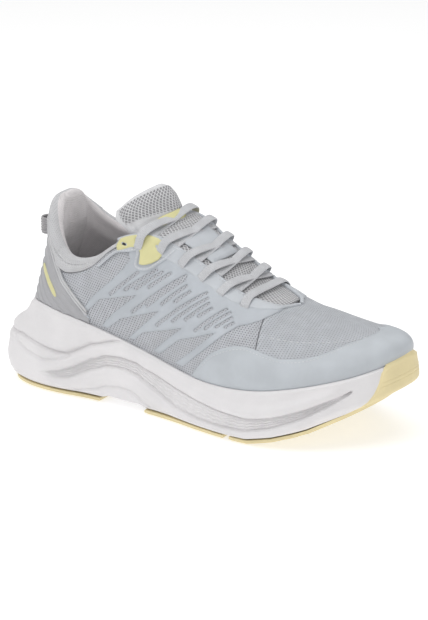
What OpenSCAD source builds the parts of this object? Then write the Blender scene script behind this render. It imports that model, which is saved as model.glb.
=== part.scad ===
// Cushioned running shoe, right foot. +X toe, +Y medial, +Z up, ground at Z = 0.
// The upper is a ruled net of stations that run round the foot from the heel
// centre (0) to the toe centre (17) on each side. Every layer is an offset of it.

/* [Laces] */
// Width of the flat lace
lace_w = 6.5; // [5:0.5:8]
// Thickness of the flat lace
lace_t = 1.2; // [0.8:0.1:1.4]

/* [Upper] */
// Thickness of the mesh
mesh_t = 1.5; // [1:0.1:1.5]
// Thickness of the welded overlay film
film_t = 0.65; // [0.4:0.05:0.65]
// Thickness of the heel counter
counter_t = 1.5; // [1:0.1:1.5]
// Thickness of the collar and heel lining
lining_t = 0.9; // [0.6:0.1:0.9]

/* [Sole] */
// Thickness of the outsole rubber
rubber_t = 3; // [2:0.2:3]
// Depth of the tread grooves
groove_d = 1.6; // [0.5:0.1:1.8]
// Thickness of the strobel board
strobel_t = 1.6; // [1:0.1:1.6]
// Thickness of the removable sockliner
sock_t = 4.6; // [3:0.2:4.6]

/* [Pull loop] */
// Height of the pull loop webbing
loop_h = 11.5; // [8:0.5:12]
// Thickness of the webbing
loop_t = 1.4; // [1:0.1:1.6]

/* [Hidden] */
X0 = 135;   // shoe station that sits over the origin
Y0 = -1.5;

// Stations: outline x, y | feather x, y, z | top line x, y, z |
// feather handle out, up | top handle out, up
LAT = [
 [-16.5,0,7,1,57,22,0,131,-8,22,-6,-20],
 [-14,-15,9,-11,57.5,21.5,-10,128.5,-6.5,22,-5.5,-20],
 [-5,-29,15,-21,59,25,-19,119,-3,20,-2,-19],
 [12,-38,27,-29.5,60,34,-26,106,0,16,1,-16],
 [36,-43,43,-35,58.5,48,-30.5,96,2,14,4,-13],
 [63,-44,63,-38,56,67,-31,99,4,17,5,-15],
 [90,-43,90,-37,48.7,89,-28,115,4,26,9,-20],
 [116,-44.5,116,-38.5,42,111,-22,117.5,4,28,10,-14],
 [140,-49,139,-43,37,134,-19,108,5,26,12,-10],
 [163,-55,161.5,-49,34.3,154,-18,97.5,5,24,14,-9],
 [186,-59.5,185.5,-53.5,34.6,174,-18,87,5,20,16,-7],
 [208,-60,207.5,-54,36.7,198,-11,80,5,18,18,-3],
 [229,-55.5,227,-50,40.2,207,5,78,4,16,22,0],
 [247,-46.5,245,-41.5,44,224,7,73.5,4,14,22,0],
 [263,-34,260,-29.5,47.5,240,8,71,3,12,21,0],
 [275,-19,271,-16,51,253,8.5,70,3,11,20,0],
 [283,-4,278,-2.5,53.5,260,9,69,3,10,18,0],
 [286,9,281,9,55,264,9,68.5,3,10,16,0]];
MED = [
 [-16.5,0,7,1,57,22,0,131,-8,22,-6,-20],
 [-14,16,9,13,57.5,21.5,11,130,-6.5,22,-5.5,-20],
 [-5,30,15,22,59,24,20,126,-3,20,-2,-19],
 [12,38,27,30,60,32,27,119,-1,18,0,-18],
 [36,42,43,35,59,47,31,109.5,2,17,3,-16],
 [63,41.5,63,35.5,57,67,31,105.5,4,18,5,-16],
 [90,38,90,32.5,51.5,94,27,121,4,26,9,-20],
 [116,36.5,116,30.5,45.5,119,22,123,4,28,10,-14],
 [140,41,139,35.5,40.5,139,20.5,111.5,5,26,12,-10],
 [163,49,162,43,37,158,20.5,99.5,5,24,14,-9],
 [186,55,185.5,49,36,177,20,88,5,20,16,-7],
 [208,57,208,51,37.5,199,15,80,5,18,18,-3],
 [230,55,229,49.5,40.5,207,5,78,4,16,22,0],
 [249,48.5,247,43.5,44,224,7,73.5,4,14,22,0],
 [264,40,261,35,47.5,240,8,71,3,12,21,0],
 [275.5,30.5,271.5,27,51,253,8.5,70,3,11,20,0],
 [283,21,278.5,19,53.5,260,9,69,3,10,18,0],
 [286,9,281,9,55,264,9,68.5,3,10,16,0]];
NU = 17;
LX = concat([MED[1]], LAT, [MED[16]]);
MX = concat([LAT[1]], MED, [LAT[16]]);
// Side profile of the tread, and of the footbed under the strobel board
ZB = [[-20,11],[-14,4],[-6,1],[2,0],[90,0],[150,0],[200,0],[217,3.7],[238,10.5],[256,19],[268,25.5],[279,32.5],[290,39.5]];
ZM = [[-20,14.3],[-14,7.3],[-6,4.3],[2,3.3],[76,3.3],[82,5],[108,5],[114,3.3],[200,3.3],[217,7],[238,13.8],[256,22.3],[268,28.8],[279,35.8],[290,42.8]];
ZF = [[-20,47],[5,46],[20,44],[50,41],[90,35],[120,31],[150,29],[200,29],[230,32],
      [255,37.5],[270,42.5],[290,47]];
VC = [.58,.60,.66,.71,.73,.84,.97,.98,.98,.98,.98,.98,.98,.98,.98,.98,.98,.98];
TH = [10,10,9.5,9,9,8,5,4,4,4,4,4,4,4,4,4,4,4];
EYE = [10.25,9.5,8.75,8,7.3,6.6];   // stations of the eyelet rows, toe end first

function crv(T,u) = let(n=len(T)-1, i=min(max(floor(u),1),n-2), t=u-i,
  a=T[i-1], b=T[i], c=T[i+1], d=T[i+2])
  0.5*((2*b)+(c-a)*t+(2*a-5*b+4*c-d)*t*t+(3*b-a-3*c+d)*t*t*t);
function row(s,u) = crv(s<0?LX:MX, u+1);
function top(s,u) = let(a=row(s,u), b=row(-s,u)) u>=12 ?
  [a[5]+b[5],a[6]+b[6],a[7]+b[7]]/2 : [a[5],a[6],a[7]];
function out(s,u) = let(a=row(s,u+.02), b=row(s,u-.02), d=[a[0]-b[0],a[1]-b[1]])
  -s*[d[1],-d[0]]/norm(d);
function up0(s,u,v) = let(r=row(s,u), n=out(s,u), F=[r[2],r[3],r[4]], T=top(s,u),
  P=F+[n[0]*r[8],n[1]*r[8],r[9]], Q=T+[n[0]*r[10],n[1]*r[10],r[11]], w=1-v)
  w*w*w*F+3*w*w*v*P+3*w*v*v*Q+v*v*v*T;
function nrm(s,u,v) = (u>=12 && v>.995) ? [.08,0,1]/norm([.08,0,1]) :
  let(e=.01, a=up0(s,u+e,v)-up0(s,u-e,v),
  b=up0(s,u,min(v+e,1))-up0(s,u,max(v-e,0)), c=cross(a,b)) -s*c/norm(c);
function up(s,u,v,o) = up0(s,u,v)+o*nrm(s,u,v);
function look(T,x) = lookup(x,T);
function lin(T,u) = let(i=min(max(floor(u),0),len(T)-2)) T[i]+(T[i+1]-T[i])*(u-i);
function sm(t) = let(c=min(max(t,0),1)) c*c*(3-2*c);
function mix(a,b,n) = [for(i=[0:n]) a+(b-a)*i/n];
function cyc(k,K) = k<=K ? [-1,NU*k/K] : [1,NU*(2*K-k)/K];

// Point of the feather line moved in towards the foot by d, at height z
function feather(s,u,d,z) = let(r=row(s,u), n=out(s,u)) [r[2]-n[0]*d, r[3]-n[1]*d, z];
// Midsole wall: h = 0 at the tread edge, 1 at the lip
HB = [[0,8],[.05,4],[.12,1.5],[.2,.4],[.28,0],[1,0]];
HT = [[0,0],[.28,0],[.43,.07],[.57,.2],[.68,.38],[.8,.7],[.9,.87],[1,1]];
function wall(s,u,h,o) = let(r=row(s,u), dx=r[2]-r[0], dy=r[3]-r[1], l=norm([dx,dy]),
  k=1-.6*sm((u-5)/1.5)*sm((13.5-u)/1.5), q=lookup(h,HB)*k+lookup(h,HT)*(l-3)+o, zb=look(ZM,r[0]+dx/l*8*k))
  [r[0]+dx/l*q, r[1]+dy/l*q, zb+(r[4]-zb)*h];

function flipped(F) = [for(f=F) [f[0],f[2],f[1]]];
// Skin round a row of closed loops, each an even number of points that run up one face and down the other
module sweep(L, closed=false, flip=false) {
  m=len(L); n=len(L[0]); h=n/2; e=(m-1)*n;
  q=[for(i=[0:closed?m-1:m-2]) for(j=[0:n-1]) let(a=i*n+j, b=i*n+(j+1)%n,
     c=((i+1)%m)*n+(j+1)%n, d=((i+1)%m)*n+j) each [[a,b,c],[a,c,d]]];
  cap=closed?[]:[for(j=[0:h-2]) each [[j,n-2-j,j+1],[j,n-1-j,n-2-j],
     [e+j,e+j+1,e+n-2-j],[e+j,e+n-2-j,e+n-1-j]]];
  F=concat(q,cap);
  polyhedron([for(l=L) each l], flip?flipped(F):F, convexity=6);
}
// Layer of the upper between offsets o1 and o2, over stations us and heights vs(u)
function layer(s,u,vs,o1,o2) = concat([for(v=vs) up(s,u,v,o1)],
  [for(i=[len(vs)-1:-1:0]) up(s,u,vs[i],o2)]);
module prism(outline, band) intersection() {
  translate([0,0,-20]) linear_extrude(200) polygon(outline);
  rotate([90,0,0]) linear_extrude(300,center=true) polygon(band);
}
function xs(T,a,b) = concat([a],[for(p=T) if(p[0]>a+.5 && p[0]<b-.5) p[0]],[b]);
function band(T,a,b,z1,z2) = let(X=xs(T,a,b)) concat([for(x=X) [x,look(T,x)+z1]],
  [for(i=[len(X)-1:-1:0]) [X[i],look(T,X[i])+z2]]);
function rim(d,K=34) = [for(k=[0:2*K-1]) let(c=cyc(k,K), p=feather(c[0],c[1],d,0)) [p[0],p[1]]];
function tread(d,K=34) = [for(k=[0:2*K-1]) let(c=cyc(k,K), p=wall(c[0],c[1],0,d)) [p[0],p[1]]];
module place() translate([-X0,-Y0,0]) children();

// ---- sole ----
module midsole() color([.88,.88,.89]) place() {
  K=34; H=[0,.05,.12,.2,.28,.43,.57,.68,.8,.9,1];
  t=function(s,u) u>14.3 ? 3.3*sm((u-14.3)/.4) : 0;
  C=[for(k=[0:2*K-1]) let(c=cyc(k,K), s=c[0], u=c[1]) concat(
    [for(h=H) wall(s,u,h,t(s,u))],
    [let(p=feather(s,u,-.35,0), r=row(s,u)) [p[0],p[1],r[4]],
     let(p=feather(s,u,-.35,0)) [p[0],p[1],look(ZF,p[0])]])];
  n=len(C[0]); m=2*K;
  side=[for(k=[0:m-1]) for(j=[0:n-2]) let(a=k*n+j, b=a+1, d=((k+1)%m)*n+j, c=d+1)
     each [[a,b,c],[a,c,d]]];
  strips=[for(k=[0:K-1]) let(l0=k, l1=k+1, m0=(m-k)%m, m1=m-k-1) each concat(
     l1==m1 ? [] : [[l0*n,l1*n,m1*n]], l0==m0 ? [] : [[l0*n,m1*n,m0*n]],
     l0==m0 ? [] : [[l1*n+n-1,l0*n+n-1,m0*n+n-1]],
     l1==m1 ? [] : [[l1*n+n-1,m0*n+n-1,m1*n+n-1]])];
  polyhedron([for(c=C) each c], concat(side,strips), convexity=8);
}
module grooves(x1,x2,step) for(x=[x1:step:x2])
  translate([x,-80,-1]) cube([2.2,160,1+groove_d]);
module heel_outsole() color([.86,.80,.62]) place() difference() {
  prism(tread(-1.5), band(ZB,-12,76,0,rubber_t));
  translate([34,-15,-1]) cube([80,30,10]);
  translate([34,0,-1]) cylinder(r=15,h=10,$fn=64);
  grooves(8,70,13);
}
module pod(s) difference() {
  intersection() {
    prism(tread(-1.5), band(ZB,114,183,0,rubber_t));
    translate([100,s<0?-80:7,-1]) cube([140,73,10]);
  }
  grooves(124,180,13);
}
module lateral_midfoot_pod() color([.86,.80,.62]) place() pod(-1);
module medial_midfoot_pod() color([.86,.80,.62]) place() pod(1);
module forefoot_outsole() color([.86,.80,.62]) place() difference() {
  prism(tread(-1.2), band(ZB,187,276,0,rubber_t));
  for(x=[200:11:262]) translate([x,-80,look(ZB,x)-2]) cube([2,160,2+groove_d]);
}
module toe_bumper() color([.86,.80,.62]) place() {
  K=34; H=[.02,.1,.2,.3,.43,.57,.7,.85,1];
  c=[for(k=[29:1:39]) cyc(k,K)];
  sweep([for(q=c) let(s=q[0], u=q[1], r=row(s,u), p=feather(s,u,-2.2,r[4]+4), i=feather(s,u,-1.2,r[4]+4))
    concat([for(h=H) wall(s,u,h,0)], [p,i], [for(j=[len(H)-1:-1:0]) wall(s,u,H[j],2.9)])]);
}
module strobel_board() color([.85,.84,.80]) place()
  prism(rim(.8), band(ZF,-10,284,.3,.3+strobel_t));
module sockliner() color([.62,.63,.65]) place()
  prism(rim(7), band(ZF,-10,274,2.3,2.3+sock_t));

// ---- upper shells ----
VQ = [0,.15,.3,.45,.6,.75,.88];
function quart(s,u) = let(vt=u<6.3 ? min(lin(VC,u)-.02,.895) : .965, f=feather(s,u,0,look(ZF,row(s,u)[2])+2.3),
   g=feather(s,u,mesh_t,look(ZF,row(s,u)[2])+2.3), vs=[for(v=VQ) v*vt/.88])
  concat([f], layer(s,u,vs,0,-mesh_t), [g]);
module lateral_quarter() color([.66,.67,.69]) place()
  sweep([for(u=mix(.04,10.75,22)) quart(-1,u)]);
module medial_quarter() color([.66,.67,.69]) place()
  sweep([for(u=mix(.04,10.75,22)) quart(1,u)], flip=true);
module vamp_mesh() color([.68,.69,.71]) place() {
  vs=[0,.16,.32,.48,.64,.8,.9,1]; U=[10.8,11.2,11.6,12,12.5,13,13.5,14,14.5,15,15.5,16,16.5,17];
  n=len(vs)+1; q=len(U);
  c=concat([for(u=U) [-1,u]],[for(i=[q-2:-1:0]) [1,U[i]]]); m=len(c);
  O=[for(p=c) let(z=look(ZF,row(p[0],p[1])[2])+2.3) concat([feather(p[0],p[1],0,z)],[for(v=vs) up(p[0],p[1],v,0)])];
  I=[for(p=c) let(z=look(ZF,row(p[0],p[1])[2])+2.3) concat([feather(p[0],p[1],mesh_t,z)],[for(v=vs) up(p[0],p[1],v,-mesh_t)])];
  b=m*n;
  skin=[for(k=[0:m-2]) for(j=[0:n-2]) let(a=k*n+j, e=a+1, d=a+n, f=d+1)
    each [[a,e,f],[a,f,d],[b+a,b+f,b+e],[b+a,b+d,b+f]]];
  foot=[for(k=[0:m-2]) let(a=k*n, d=a+n) each [[a,d,b+d],[a,b+d,b+a]]];
  throat=[for(k=[0:m-2]) if(k<3 || k>=m-4) let(a=k*n+n-1, d=a+n) each [[a,b+d,d],[a,b+a,b+d]]];
  ends=[for(j=[0:n-2]) let(e=(m-1)*n) each [[j,b+j+1,j+1],[j,b+j,b+j+1],
    [e+j,e+j+1,b+e+j+1],[e+j,b+e+j+1,b+e+j]]];
  polyhedron(concat([for(o=O) each o],[for(i=I) each i]), concat(skin,foot,throat,ends), convexity=8);
}
module toe_guard() color([.70,.73,.75]) place() {
  c=concat([for(u=[12:.5:17]) [-1,u]],[for(u=[16.5:-.5:12]) [1,u]]);
  sweep([for(p=c) let(w=.30+.16*sm((p[1]-12)/2.5)+.16*sm((p[1]-14)/3), b=.03+.14*sm((p[1]-13.2)/1.1))
    layer(p[0],p[1],[for(t=[0:.2:1]) b+(w-b)*t],.35+film_t,.35)]);
}
module film(s) sweep([for(u=mix(5.7,11.7,15)) let(a=u<6.4?.45*(6.4-u)/.7+.03:.03, b=u<6.4?.62+.3*(u-5.7)/.7:.92)
    layer(s,u,[for(t=[0:.125:1]) a+(b-a)*t],.35+film_t,.35)], flip=s>0);
module lateral_overlay() color([.70,.73,.75]) place() film(-1);
module medial_overlay() color([.70,.73,.75]) place() film(1);
module patch(s) sweep([for(u=mix(6.1,7.9,9)) layer(s,u,[for(t=[0:.25:1]) .80+.17*t],1.42,1.02)], flip=s>0);
module lateral_eyelet_patch() color([.83,.82,.60]) place() patch(-1);
module medial_eyelet_patch() color([.83,.82,.60]) place() patch(1);
PV = [[0,.78],[2.5,.78],[2.9,.75],[3.1,.73],[3.6,.645],[4,.52],[4.36,.41],[4.94,.185],[5.3,.05]];  // top edge of the heel panel
function pv(u) = look(PV,u);
module heel_panel() color([.64,.64,.65]) place() {
  c=concat([for(u=mix(5.04,0,15)) [1,u]],[for(u=mix(.36,5.04,14)) [-1,u]]);
  sweep([for(p=c) layer(p[0],p[1],[for(t=[0:.2:1]) .03+(pv(p[1])-.03)*t],1.1,.35)]);
}
module cord(s,U,dv) sweep([for(u=U) let(v=pv(u)+dv, p=up(s,u,v,0), n=nrm(s,u,v), t=[0,0,1])
    [p+.4*n-.7*t, p+1.2*n-.6*t, p+1.2*n+.6*t, p+.4*n+.7*t]], flip=s<0);
module heel_piping() color([.78,.78,.79]) place() for(s=[-1,1]) for(d=[.035,.075])
  cord(s,mix(.9,5.0,15),d);
AC = [[2.3,.50],[3,.45],[3.58,.34],[4.02,.20]];
module heel_accent() color([.84,.82,.45]) place()
  sweep([for(u=mix(2.35,3.85,8)) let(v=look(AC,u)) layer(-1,u,[v-.03,v+.03],1.9,1.4)]);
module heel_counter() color([.45,.45,.47]) place() {
  c=concat([for(u=mix(4.4,0,12)) [1,u]],[for(u=mix(.37,4.4,11)) [-1,u]]);
  sweep([for(p=c) layer(p[0],p[1],[for(t=[0:.2:1]) .03+(.46-.16*sm((p[1]-2)/2.4))*t],-mesh_t-.35,-mesh_t-.35-counter_t)]);
}
// Collar: outside face from the seam up, round the crest, and down the inside
function th(u,v) = lin(TH,u)*(.55+.45*sm(v/.8));
function cap(s,u,o,i,n) = let(v=.94, p=up0(s,u,v), q=up0(s,u,1), N=nrm(s,u,v),
  t=(q-p)/norm(q-p), c=p-N*(o+i)/2, r=(i-o)/2) [for(k=[1:n-1]) let(a=180*k/n) c+r*(cos(a)*N+sin(a)*t)];
function collar(s,u,ins,v0,v1,no) = concat(
  [for(v=mix(v0,.94,no)) up(s,u,v,-ins)],
  cap(s,u,ins,th(u,.94)-ins,6),
  [for(v=mix(.94,v1,7)) up(s,u,v,-(th(u,v)-ins))]);
COL = concat([for(u=mix(6.3,0,19)) [1,u]],[for(u=mix(6.3/19,6.3,18)) [-1,u]]);
module collar_lining() color([.68,.67,.68]) place()
  sweep([for(p=COL) let(s=p[0], u=p[1], vc=lin(VC,u)+.01, v0=min(vc,.92), a=collar(s,u,0,v0,.05,3), b=collar(s,u,lining_t,v0,.05,3))
    concat(a,[for(i=[len(b)-1:-1:0]) b[i]])]);
module collar_foam() color([.9,.88,.7]) place() {
  c=[for(p=COL) if(p[1]<5.6) p];
  sweep([for(p=c) let(s=p[0], u=p[1]) concat(
    [for(v=mix(.56,.94,4)) up(s,u,v,-2.2)],
    cap(s,u,2.2,th(u,.94)-1.3,5),
    [for(v=mix(.94,.56,4)) up(s,u,v,-(th(u,v)-1.3))])]);
}

// ---- tongue ----
// Five points across the tongue at station u, outer face
function tg(u) = let(l=up(-1,u,.80,-2.3), a=up(-1,u,1,-2.2), b=up(1,u,1,-2.2), r=up(1,u,.80,-2.3))
  [l,a,(a+b)/2+[u<7.5?2.5:1.2,0,u>10.5?1.2:1.8],b,r];
FLAP = [
 [[83,-25,132],[91,-15,140.5],[101.5,2,147],[99,16,142.5],[90,27,133]],
 [[84,-27,127],[94,-16,134.5],[105.5,2,139.5],[103.5,16,136],[95,26,128.5]],
 [[87.5,-25.5,122.5],[97,-16,128.5],[109,2,132.5],[107.5,15,130],[100.5,23,125]],
 [[93,-23.5,118],[102,-15,122.5],[111.5,2,126.5],[110.5,14,125],[105.5,21,121.5]]];
function five(P,w) = let(E=concat([2*P[0]-P[1]],P,[2*P[4]-P[3]])) crv(E,1+w);
function tdn(P,w) = let(a=five(P,min(w+.1,4))-five(P,max(w-.1,0)), c=cross(a,[-.75,0,.66])) c/norm(c);
function tongue_row(P,o1,o2,k) = let(W=[for(i=[0:8]) k+(4-2*k)*i/8]) concat(
  [for(w=W) five(P,w)-o1*tn(P,w)], [for(i=[8:-1:0]) five(P,W[i])-o2*tn(P,W[i])]);
// unit normal of the tongue, away from the foot
function tn(P,w) = let(a=five(P,min(w+.1,4))-five(P,max(w-.1,0)), c=cross(a,[-.8,0,.6])) -c/norm(c)*sign(c[2]<0?1:-1);
TU = [for(u=mix(6.72,11.2,13)) u];
module tongue_layer(o1,o2,k) sweep([for(u=TU) tongue_row(tg(u),o1,o2,k)]);
module flap_layer(o1,o2,k,a) sweep([for(i=[0:9]) tongue_row(crv(concat([2*FLAP[0]-FLAP[1]],FLAP,[2*FLAP[3]-FLAP[2]]),1+a+(2.72-a)*i/9),o1,o2,k)]);
module tongue_cover() color([.74,.74,.75]) place() tongue_layer(0,.9,0);
module tongue_foam() color([.9,.88,.7]) place() tongue_layer(1.2,4.2,.08);
module tongue_lining() color([.68,.67,.68]) place() tongue_layer(4.5,5.3,0);
module tongue_top_cover() color([.74,.74,.75]) place() flap_layer(0,.9,0,0);
module tongue_top_foam() color([.9,.88,.7]) place() flap_layer(1.2,4.2,.08,.1);
module tongue_top_lining() color([.68,.67,.68]) place() flap_layer(4.5,5.3,0,0);
module tongue_label() color([.84,.82,.45]) place()
  sweep([for(t=[2.18:.12:2.54]) let(P=crv(concat([2*FLAP[0]-FLAP[1]],FLAP,[2*FLAP[3]-FLAP[2]]),1+t)) concat(
    [for(w=mix(1.9,3.1,5)) five(P,w)+.8*tn(P,w)], [for(w=mix(3.1,1.9,5)) five(P,w)+.3*tn(P,w)])]);
module lace_keeper() color([.76,.76,.77]) place()
  sweep([for(u=mix(7.75,8.7,4)) let(P=tg(u)) concat(
    [for(w=mix(1.45,2.55,5)) five(P,w)+.8*tn(P,w)], [for(w=mix(2.55,1.45,5)) five(P,w)+.25*tn(P,w)])]);

// ---- pull loop ----
module pull_loop() color([.62,.61,.62]) place() translate([0,0,101.5]) linear_extrude(loop_h)
  difference() {
    union() { translate([13,0]) circle(r=6.5,$fn=64); translate([13,-6.5]) square([5.9,13]); }
    translate([13,0]) circle(r=6.5-loop_t,$fn=64);
    translate([13,loop_t-6.5]) square([10,13-2*loop_t]);
  }

// ---- laces ----
// Surface over the throat: w = -1 at the lateral eyelet, 1 at the medial one, lifted by o
function thr(u,w,o) = let(P=[up(-1,u,.86,1.7),up(-1,u,.99,1.5),
   (up(-1,u,1,0)+up(1,u,1,0))/2+[2,0,2],up(1,u,.99,1.5),up(1,u,.86,1.7)])
   five(P,2+2*w)+o*[.34,0,.94];
module run(u1,w1,u2,w2,o1,om,o2,n=12) {
  pt=function(t) thr(u1+(u2-u1)*t, w1+(w2-w1)*t, (t<.5?o1:o2)+(om-(t<.5?o1:o2))*sm(1-abs(2*t-1)*1.15));
  sweep([for(i=[0:n]) let(t=i/n, p=pt(t), d=pt(min(t+.02,1))-pt(max(t-.02,0)), n3=[.34,0,.94],
     b=cross(n3,d)/norm(cross(n3,d)), h=lace_w/2)
     [p-h*b, p-h*b+lace_t*n3, p+h*b+lace_t*n3, p+h*b]]);
}
function mp(u) = (EYE[0]-u);
module shoelace() color([.79,.80,.80]) place() {
  run(EYE[0],-1,EYE[0],1,1.0,1.0,1.0);
  for(i=[0:4]) {
    run(EYE[i]-.40,-.46,EYE[i+1],1,-1.2,i==4?7.8:3.0,i>=3?2.5:1.3);
    run(EYE[i]-.40,.46,EYE[i+1],-1,-1.2,i==4?6.4:1.6,i>=3?2.5:1.3);
  }
  for(s=[-1,1]) tail(s);
}
// Free end of the lace, tucked between the tongue and the quarter
function tail_pt(s,t) = let(u=6.75+2.6*t, v=.86-.28*t) up(s,u,v,-9.5-1.5*sin(180*t));
module tail(s) sweep([for(i=[0:10]) let(t=i/10, p=tail_pt(s,t), n=nrm(s,6.75+2.6*t,.86-.28*t),
   d=tail_pt(s,min(t+.02,1))-tail_pt(s,max(t-.02,0)), b=cross(n,d)/norm(cross(n,d)), h=lace_w/2)
   [p-h*b, p-h*b+lace_t*n, p+h*b+lace_t*n, p+h*b]]);
module aglets() color([.85,.86,.87]) place() for(s=[-1,1])
  sweep([for(i=[0:3]) let(t=1.012+.12*i/3, p=tail_pt(s,t), n=nrm(s,6.75+2.6*t,.86-.28*t),
   d=tail_pt(s,t+.02)-tail_pt(s,t-.02), b=cross(n,d)/norm(cross(n,d)), h=1.3)
   [p-h*b-.6*n, p-h*b+1.6*n, p+h*b+1.6*n, p+h*b-.6*n]]);

midsole();
heel_outsole();
lateral_midfoot_pod();
medial_midfoot_pod();
forefoot_outsole();
toe_bumper();
strobel_board();
sockliner();
vamp_mesh();
lateral_quarter();
medial_quarter();
toe_guard();
lateral_overlay();
medial_overlay();
lateral_eyelet_patch();
medial_eyelet_patch();
heel_panel();
heel_piping();
heel_accent();
heel_counter();
collar_foam();
collar_lining();
tongue_cover();
tongue_foam();
tongue_lining();
tongue_top_cover();
tongue_top_foam();
tongue_top_lining();
tongue_label();
lace_keeper();
pull_loop();
shoelace();
aglets();
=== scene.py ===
import bpy, math
import numpy as np
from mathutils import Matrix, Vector


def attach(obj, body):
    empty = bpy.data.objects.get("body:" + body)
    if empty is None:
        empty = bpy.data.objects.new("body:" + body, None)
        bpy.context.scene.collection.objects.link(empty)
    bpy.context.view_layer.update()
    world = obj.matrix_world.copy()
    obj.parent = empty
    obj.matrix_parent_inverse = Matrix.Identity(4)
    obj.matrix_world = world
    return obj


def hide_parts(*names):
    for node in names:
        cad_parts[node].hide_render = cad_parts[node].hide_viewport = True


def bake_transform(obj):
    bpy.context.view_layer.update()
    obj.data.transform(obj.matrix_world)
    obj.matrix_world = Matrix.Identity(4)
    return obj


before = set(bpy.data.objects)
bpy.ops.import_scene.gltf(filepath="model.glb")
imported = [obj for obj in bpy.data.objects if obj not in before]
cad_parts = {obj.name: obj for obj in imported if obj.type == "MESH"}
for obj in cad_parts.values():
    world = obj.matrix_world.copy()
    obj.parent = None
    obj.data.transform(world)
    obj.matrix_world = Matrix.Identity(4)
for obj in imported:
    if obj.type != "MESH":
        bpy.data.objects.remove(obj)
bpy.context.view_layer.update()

# ------------------------------------------------------------------ the shoe's surface, repeated from part.scad (mm)
LAT = np.array([[-16.5,0,7,1,57,22,0,131,-8,22,-6,-20], [-14,-15,9,-11,57.5,21.5,-10,128.5,-6.5,22,-5.5,-20], [-5,-29,15,-21,59,25,-19,119,-3,20,-2,-19], [12,-38,27,-29.5,60,34,-26,106,0,16,1,-16], [36,-43,43,-35,58.5,48,-30.5,96,2,14,4,-13], [63,-44,63,-38,56,67,-31,99,4,17,5,-15], [90,-43,90,-37,48.7,89,-28,115,4,26,9,-20], [116,-44.5,116,-38.5,42,111,-22,117.5,4,28,10,-14], [140,-49,139,-43,37,134,-19,108,5,26,12,-10], [163,-55,161.5,-49,34.3,154,-18,97.5,5,24,14,-9], [186,-59.5,185.5,-53.5,34.6,174,-18,87,5,20,16,-7], [208,-60,207.5,-54,36.7,198,-11,80,5,18,18,-3], [229,-55.5,227,-50,40.2,207,5,78,4,16,22,0], [247,-46.5,245,-41.5,44,224,7,73.5,4,14,22,0], [263,-34,260,-29.5,47.5,240,8,71,3,12,21,0], [275,-19,271,-16,51,253,8.5,70,3,11,20,0], [283,-4,278,-2.5,53.5,260,9,69,3,10,18,0], [286,9,281,9,55,264,9,68.5,3,10,16,0]], float)
MED = np.array([[-16.5,0,7,1,57,22,0,131,-8,22,-6,-20], [-14,16,9,13,57.5,21.5,11,130,-6.5,22,-5.5,-20], [-5,30,15,22,59,24,20,126,-3,20,-2,-19], [12,38,27,30,60,32,27,119,-1,18,0,-18], [36,42,43,35,59,47,31,109.5,2,17,3,-16], [63,41.5,63,35.5,57,67,31,105.5,4,18,5,-16], [90,38,90,32.5,51.5,94,27,121,4,26,9,-20], [116,36.5,116,30.5,45.5,119,22,123,4,28,10,-14], [140,41,139,35.5,40.5,139,20.5,111.5,5,26,12,-10], [163,49,162,43,37,158,20.5,99.5,5,24,14,-9], [186,55,185.5,49,36,177,20,88,5,20,16,-7], [208,57,208,51,37.5,199,15,80,5,18,18,-3], [230,55,229,49.5,40.5,207,5,78,4,16,22,0], [249,48.5,247,43.5,44,224,7,73.5,4,14,22,0], [264,40,261,35,47.5,240,8,71,3,12,21,0], [275.5,30.5,271.5,27,51,253,8.5,70,3,11,20,0], [283,21,278.5,19,53.5,260,9,69,3,10,18,0], [286,9,281,9,55,264,9,68.5,3,10,16,0]], float)
LX = np.vstack([MED[1], LAT, MED[16]])
MX = np.vstack([LAT[1], MED, LAT[16]])
ZB = np.array([[-20,11], [-14,4], [-6,1], [2,0], [90,0], [150,0], [200,0], [217,3.7], [238,10.5], [256,19], [268,25.5], [279,32.5], [290,39.5]], float)
ZM = np.array([[-20,14.3], [-14,7.3], [-6,4.3], [2,3.3], [76,3.3], [82,5], [108,5], [114,3.3], [200,3.3], [217,7], [238,13.8], [256,22.3], [268,28.8], [279,35.8], [290,42.8]], float)
ZF = np.array([[-20,47], [5,46], [20,44], [50,41], [90,35], [120,31], [150,29], [200,29], [230,32], [255,37.5], [270,42.5], [290,47]], float)
HB = np.array([[0,8],[.05,4],[.12,1.5],[.2,.4],[.28,0],[1,0]], float)
HT = np.array([[0,0],[.28,0],[.43,.07],[.57,.2],[.68,.38],[.8,.7],[.9,.87],[1,1]], float)
VC = np.array([.58,.60,.66,.71,.73,.84,.97,.98,.98,.98,.98,.98,.98,.98,.98,.98,.98,.98])
TH = np.array([10,10,9.5,9,9,8,5,4,4,4,4,4,4,4,4,4,4,4], float)
EYE = [10.25, 9.5, 8.75, 8, 7.3, 6.6]
FLAP = np.array([[[83,-25,132], [91,-15,140.5], [101.5,2,147], [99,16,142.5], [90,27,133]], [[84,-27,127], [94,-16,134.5], [105.5,2,139.5], [103.5,16,136], [95,26,128.5]], [[87.5,-25.5,122.5], [97,-16,128.5], [109,2,132.5], [107.5,15,130], [100.5,23,125]], [[93,-23.5,118], [102,-15,122.5], [111.5,2,126.5], [110.5,14,125], [105.5,21,121.5]]], float)

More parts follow.
